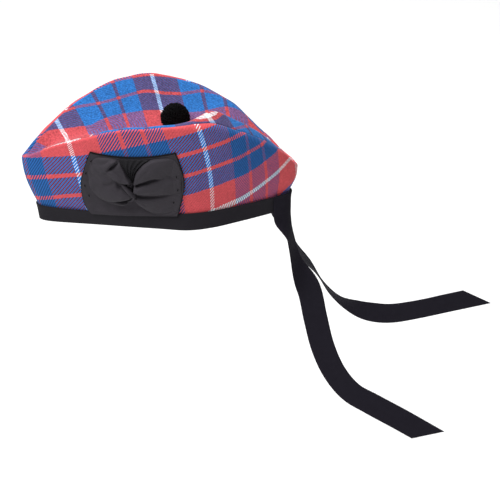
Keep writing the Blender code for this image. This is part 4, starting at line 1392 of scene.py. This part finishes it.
def wool_twill(name, sett, ribs, lean, light, covering, fuzziness):
    """Checked wool: threads show solid where they meet their own colour, and hatched where they cross.
    The twill's ribs lie a length of cloth apart and lean towards the back for -1 or the front for 1."""
    material, tree, shader = surface_of(
        name, Roughness=0.93, Sheen_Weight=0.10, Sheen_Roughness=0.45, Specular_IOR_Level=0.2)
    flat = add_node(tree, "UVMap", uv_map="cloth")
    uneven = add_node(tree, "TexNoise", {"Scale": WANDER_SCALE, "Detail": 3.0}, {"Vector": flat})
    centred = add_node(
        tree, "VectorMath", {1: (0.5, 0.5, 0.5)}, {0: uneven.outputs["Color"]}, operation="SUBTRACT")
    wander = add_node(tree, "VectorMath", {"Scale": WANDER}, {0: centred}, operation="SCALE")
    placed = add_node(tree, "VectorMath", links={0: flat, 1: wander}, operation="ADD")
    axes = add_node(tree, "SeparateXYZ", links={0: placed})
    warp = stripes(tree, axes.outputs["X"], sett)
    weft = stripes(tree, axes.outputs["Y"], sett)
    warp_blue = warp.outputs["Alpha"]
    weft_blue = weft.outputs["Alpha"]
    # The ribs: a wave across the cloth's two ways.
    ways = (2 * math.pi / ribs, lean * 2 * math.pi / ribs, 0.0)
    slope = add_node(tree, "VectorMath", {1: ways}, {0: flat}, operation="DOT_PRODUCT")
    wave = add_node(tree, "Math", links={0: slope.outputs["Value"]}, operation="SINE")
    cover = add_node(tree, "Math", {1: BLUE_COVERS}, {0: weft_blue, 2: wave}, operation="MULTIPLY_ADD")
    # A half for a white warp, and 0 for a red or blue one.
    pale = add_node(tree, "Math", {1: 0.5}, {0: warp_blue}, operation="PINGPONG")
    cover = add_node(tree, "Math", {1: covering[2]}, {0: pale, 2: cover}, operation="MULTIPLY_ADD")
    over = add_node(tree, "MapRange", {1: covering[0], 2: covering[1]}, {0: cover})
    # A mix of colours takes them at its sockets 6 and 7, and gives its result at output 2.
    woven = add_node(tree, "Mix", links={0: over, 6: warp, 7: weft}, data_type="RGBA").outputs[2]
    # How strongly the ribs show: fully where red meets blue, less in blue alone, hardly in one colour.
    apart = add_node(tree, "Math", links={0: warp_blue, 1: weft_blue}, operation="SUBTRACT")
    apart = add_node(tree, "Math", links={0: apart}, operation="ABSOLUTE")
    differs = add_node(tree, "MapRange", {1: 0.5, 2: 1.0, 3: RIB_ON_ONE_COLOUR, 4: 1.0}, {0: apart})
    blues = add_node(tree, "Math", links={0: warp_blue, 1: weft_blue}, operation="MULTIPLY")
    crossing = add_node(tree, "Math", {1: RIB_ON_BLUE}, {0: blues, 2: differs}, operation="MULTIPLY_ADD")
    lit, shaded = (
        add_node(tree, "Math", {1: more, 2: red}, {0: weft_blue}, operation="MULTIPLY_ADD")
        for red, more in (light, RIB_SHADE))
    ribbed = add_node(tree, "MapRange", links={0: over, 3: shaded, 4: lit})
    ribbed = add_node(tree, "Math", {1: 1.0}, {0: ribbed}, operation="SUBTRACT")
    hatch = add_node(tree, "Math", {2: 1.0}, {0: ribbed, 1: crossing}, operation="MULTIPLY_ADD")
    patchy = add_node(tree, "TexNoise", {"Scale": PATCH_SCALE, "Detail": 4.0}, {"Vector": flat})
    space = add_node(tree, "TexCoord").outputs["Object"]
    fuzz = add_node(tree, "TexNoise", {"Scale": FUZZ_PER_METRE, "Detail": 1.0}, {"Vector": space})
    least = 1 - (PATCHES + fuzziness) / 2
    tone = add_node(tree, "Math", {1: PATCHES, 2: least}, {0: patchy}, operation="MULTIPLY_ADD")
    tone = add_node(tree, "Math", {1: fuzziness}, {0: fuzz, 2: tone}, operation="MULTIPLY_ADD")
    tone = add_node(tree, "Math", links={0: tone, 1: hatch}, operation="MULTIPLY")
    # A blue weft comes out lighter where it covers the white.
    lift = add_node(tree, "Math", links={0: pale, 1: weft_blue}, operation="MULTIPLY")
    lift = add_node(tree, "Math", {1: covering[2], 2: 1.0}, {0: lift}, operation="MULTIPLY_ADD")
    tone = add_node(tree, "Math", links={0: tone, 1: lift}, operation="MULTIPLY")
    shade = add_node(tree, "VectorMath", links={0: woven, "Scale": tone}, operation="SCALE")
    # The bump is the ribs' wave with the fuzz on it.
    height = add_node(tree, "Math", {1: 0.6}, {0: fuzz, 2: wave}, operation="MULTIPLY_ADD")
    finish_cloth(tree, shader, shade, height, 0.4, 0.0002)
    return material


def grosgrain(name, colour, spacing, depth, gloss):
    """Ribbed ribbon of tight silky warp over thick weft cords: a soft gleam broken by fine crosswise ribs.
    A cord is painted a quarter brighter on top, a painted highlight on its crest, and the ribbon is cloudy
    over some 8 mm."""
    material, tree, shader = surface_of(name, Roughness=0.72, Specular_IOR_Level=gloss)
    flat = add_node(tree, "UVMap", uv_map="cloth")
    along = add_node(tree, "SeparateXYZ", links={0: flat}).outputs["X"]
    turns = add_node(tree, "Math", {1: math.pi / spacing}, {0: along}, operation="MULTIPLY")
    wave = add_node(tree, "Math", links={0: turns}, operation="SINE")
    rib = add_node(tree, "Math", links={0: wave}, operation="ABSOLUTE")
    cloudy = add_node(tree, "TexNoise", {"Scale": 0.12, "Detail": 4.0}, {"Vector": flat})
    # Each cord's top is painted brighter: a painted highlight.
    tone = add_node(tree, "Math", {1: 0.25, 2: 0.78}, {0: rib}, operation="MULTIPLY_ADD")
    tone = add_node(tree, "Math", {1: 0.30}, {0: cloudy, 2: tone}, operation="MULTIPLY_ADD")
    shade = add_node(tree, "VectorMath", {0: linear(colour)[:3]}, {"Scale": tone}, operation="SCALE")
    finish_cloth(tree, shader, shade, rib, 0.45, depth)
    return material


def pressed_felt(name, colour):
    """Wool felt pressed hard: no thread, a matt face with a faint mottle some 7 mm wide and short lint."""
    material, tree, shader = surface_of(
        name, Roughness=0.95, Sheen_Weight=0.03, Sheen_Roughness=0.5, Specular_IOR_Level=0.12)
    flat = add_node(tree, "UVMap", uv_map="cloth")
    mottle = add_node(tree, "TexNoise", {"Scale": 0.15, "Detail": 5.0}, {"Vector": flat})
    lint = add_node(tree, "TexNoise", {"Scale": 1.6, "Detail": 3.0}, {"Vector": flat})
    tone = add_node(tree, "Math", {1: 0.45, 2: 0.62}, {0: mottle}, operation="MULTIPLY_ADD")
    tone = add_node(tree, "Math", {1: 0.30}, {0: lint, 2: tone}, operation="MULTIPLY_ADD")
    shade = add_node(tree, "VectorMath", {0: linear(colour)[:3]}, {"Scale": tone}, operation="SCALE")
    finish_cloth(tree, shader, shade, lint, 0.35, 0.0003)
    return material


def cut_yarn(name, colour):
    """Black wool yarn cut short: it swallows light, with a trace of sheen at the ends and a mottle about
    1 mm wide."""
    material, tree, shader = surface_of(
        name, Roughness=1.0, Sheen_Weight=0.02, Sheen_Roughness=0.6, Specular_IOR_Level=0.05)
    space = add_node(tree, "TexCoord").outputs["Object"]
    mottle = add_node(tree, "TexNoise", {"Scale": 900.0, "Detail": 2.0}, {"Vector": space})
    tone = add_node(tree, "Math", {1: 1.2, 2: 0.4}, {0: mottle}, operation="MULTIPLY_ADD")
    shade = add_node(tree, "VectorMath", {0: linear(colour)[:3]}, {"Scale": tone}, operation="SCALE")
    tree.links.new(shade.outputs[0], shader.inputs["Base Color"])
    return material


def painted_floor(name):
    """Matt white paint on board, a trace uneven."""
    material, tree, shader = surface_of(name, Roughness=0.9, Specular_IOR_Level=0.1)
    space = add_node(tree, "TexCoord").outputs["Object"]
    faint = add_node(tree, "TexNoise", {"Scale": 2.0}, {"Vector": space})
    tone = add_node(tree, "Math", {1: 0.02, 2: 0.88}, {0: faint}, operation="MULTIPLY_ADD")
    tree.links.new(tone.outputs[0], shader.inputs["Base Color"])
    return material


# The cap.

surface = cap_surface(STATIONS)
left_wall = LeftWall(cap_surface(WALL_STATIONS))

wall_wool = wool_twill(
    "worsted_twill_wall", WALL_SETT, WALL_RIBS, -1, WALL_RIB_LIGHT, WALL_COVER, WALL_FUZZ)
crown_wool = wool_twill(
    "worsted_twill_crown", CROWN_SETT, CROWN_RIBS, 1, CROWN_RIB_LIGHT, CROWN_COVER, CROWN_FUZZ)
# For each ribbon: the spacing of its cords in millimetres, about a real one's, the depth of their bump in
# metres, and its gloss.
binding = grosgrain("grosgrain_binding", "#1C1A1F", 0.9, 0.0002, 0.12)
charcoal_ribbon = grosgrain("grosgrain_charcoal", "#312E33", 0.8, 0.00012, 0.14)
# The gathered ribbon is near black: painted shade in the hollow between the wings.
gathered_ribbon_painted_shade = grosgrain("grosgrain_gathered_painted_shade", "#19181B", 0.8, 0.0002, 0.14)
tail_ribbon = grosgrain("grosgrain_tail", "#1D1B22", 0.9, 0.0002, 0.03)
felt = pressed_felt("pressed_felt_charcoal", "#333035")
# A near-black edge: partly the cockade's dark edge thread, partly painted shade along its rolled edge.
edge_thread_and_shade = pressed_felt("felt_edge_black_and_painted_shade", "#0E0D0F")
yarn = cut_yarn("cut_wool_yarn_black", "#070607")

wool = add_wool(surface)
knot = add_knot(left_wall)
made = [
    (wool["wool_left"], wall_wool, "side_left", "wool"),
    (wool["wool_right"], wall_wool, "side_right", "wool"),
    (wool["wool_crown"], crown_wool, "crown", "wool"),
    (add_band(surface), binding, "band", "binding"),
    (add_cockade(left_wall), felt, "cockade", "cockade_felt"),
    (add_wing(left_wall, "bow_front_ribbon", FRONT_WING, FRONT_ROLLS, FRONT_CREASES, 2.2),
     charcoal_ribbon, "bow_front", "bow_ribbon"),
    (add_wing(left_wall, "bow_back_ribbon", BACK_WING, BACK_ROLLS, BACK_CREASES, 8.8),
     charcoal_ribbon, "bow_back", "bow_ribbon"),
    (knot, charcoal_ribbon, "bow_knot", "bow_ribbon"),
    (add_tacks(left_wall), yarn, None, "bow_ribbon"),
    (add_toorie(surface), yarn, "toorie", "toorie_yarn"),
    (add_tail(surface, "tail_left_ribbon", TAIL_LEFT, -1), tail_ribbon, "tail_left", "tail_ribbon"),
    (add_tail(surface, "tail_right_ribbon", TAIL_RIGHT, 1), tail_ribbon, "tail_right", "tail_ribbon"),
]
for piece, material, cad_node, slot in made:
    piece.data.materials.append(material)
    # The knot's gathers take the near-black ribbon, painted shade.
    if piece is knot:
        piece.data.materials.append(gathered_ribbon_painted_shade)
    # The cockade's edge faces take the black edge felt, partly edge thread and partly painted shade.
    if slot == "cockade_felt":
        piece.data.materials.append(edge_thread_and_shade)
    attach(piece, "root")
    if cad_node:
        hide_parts(cad_node)

# Floor, light and camera.

# The floor lies well below the tails and reaches far behind them.
FLOOR_SIZE = 14.0
FLOOR_PLACE = (0.0, 3.0, -0.62)
LIGHT_AIM = Vector((0.0, 0.0, 0.05))
# The camera looks down at the cap from 28 degrees above and 6 degrees round from square on, 1.7 m away.
CAMERA_PLACE = (-0.06651, -1.52202, 0.76119)
CAMERA_AIM = Vector((0.09039, -0.02923, -0.03691))
CAMERA_LENS = 111.27

bpy.ops.mesh.primitive_plane_add(size=FLOOR_SIZE, location=FLOOR_PLACE)
floor = bpy.context.object
floor.name = "floor"
floor.data.materials.append(painted_floor("matt_white_floor"))


def add_light(name, place, size, power):
    """A square soft light that faces the cap, with its size in metres and its power in watts."""
    data = bpy.data.lights.new(name, "AREA")
    data.size = size
    data.energy = power
    item = bpy.data.objects.new(name, data)
    item.location = place
    item.rotation_euler = (LIGHT_AIM - Vector(place)).to_track_quat("-Z", "Y").to_euler()
    bpy.context.scene.collection.objects.link(item)


add_light("key", (-1.15, -1.15, 2.15), 1.0, 76.0)
add_light("panel", (0.0, 1.2, 3.6), 6.0, 240.0)
world = bpy.data.worlds.new("studio")
world.use_nodes = True
sky = world.node_tree.nodes["Background"]
sky.inputs["Color"].default_value = (1.0, 1.0, 1.0, 1.0)
sky.inputs["Strength"].default_value = 0.22
bpy.context.scene.world = world
bpy.context.scene.view_settings.view_transform = "Standard"

camera_data = bpy.data.cameras.new("camera")
camera_data.sensor_width = 36.0
camera_data.lens = CAMERA_LENS
camera_data.clip_end = 30.0
camera = bpy.data.objects.new("camera", camera_data)
camera.location = CAMERA_PLACE
camera.rotation_euler = (CAMERA_AIM - camera.location).to_track_quat("-Z", "Y").to_euler()
bpy.context.scene.collection.objects.link(camera)
bpy.context.scene.camera = camera

bpy.context.view_layer.update()
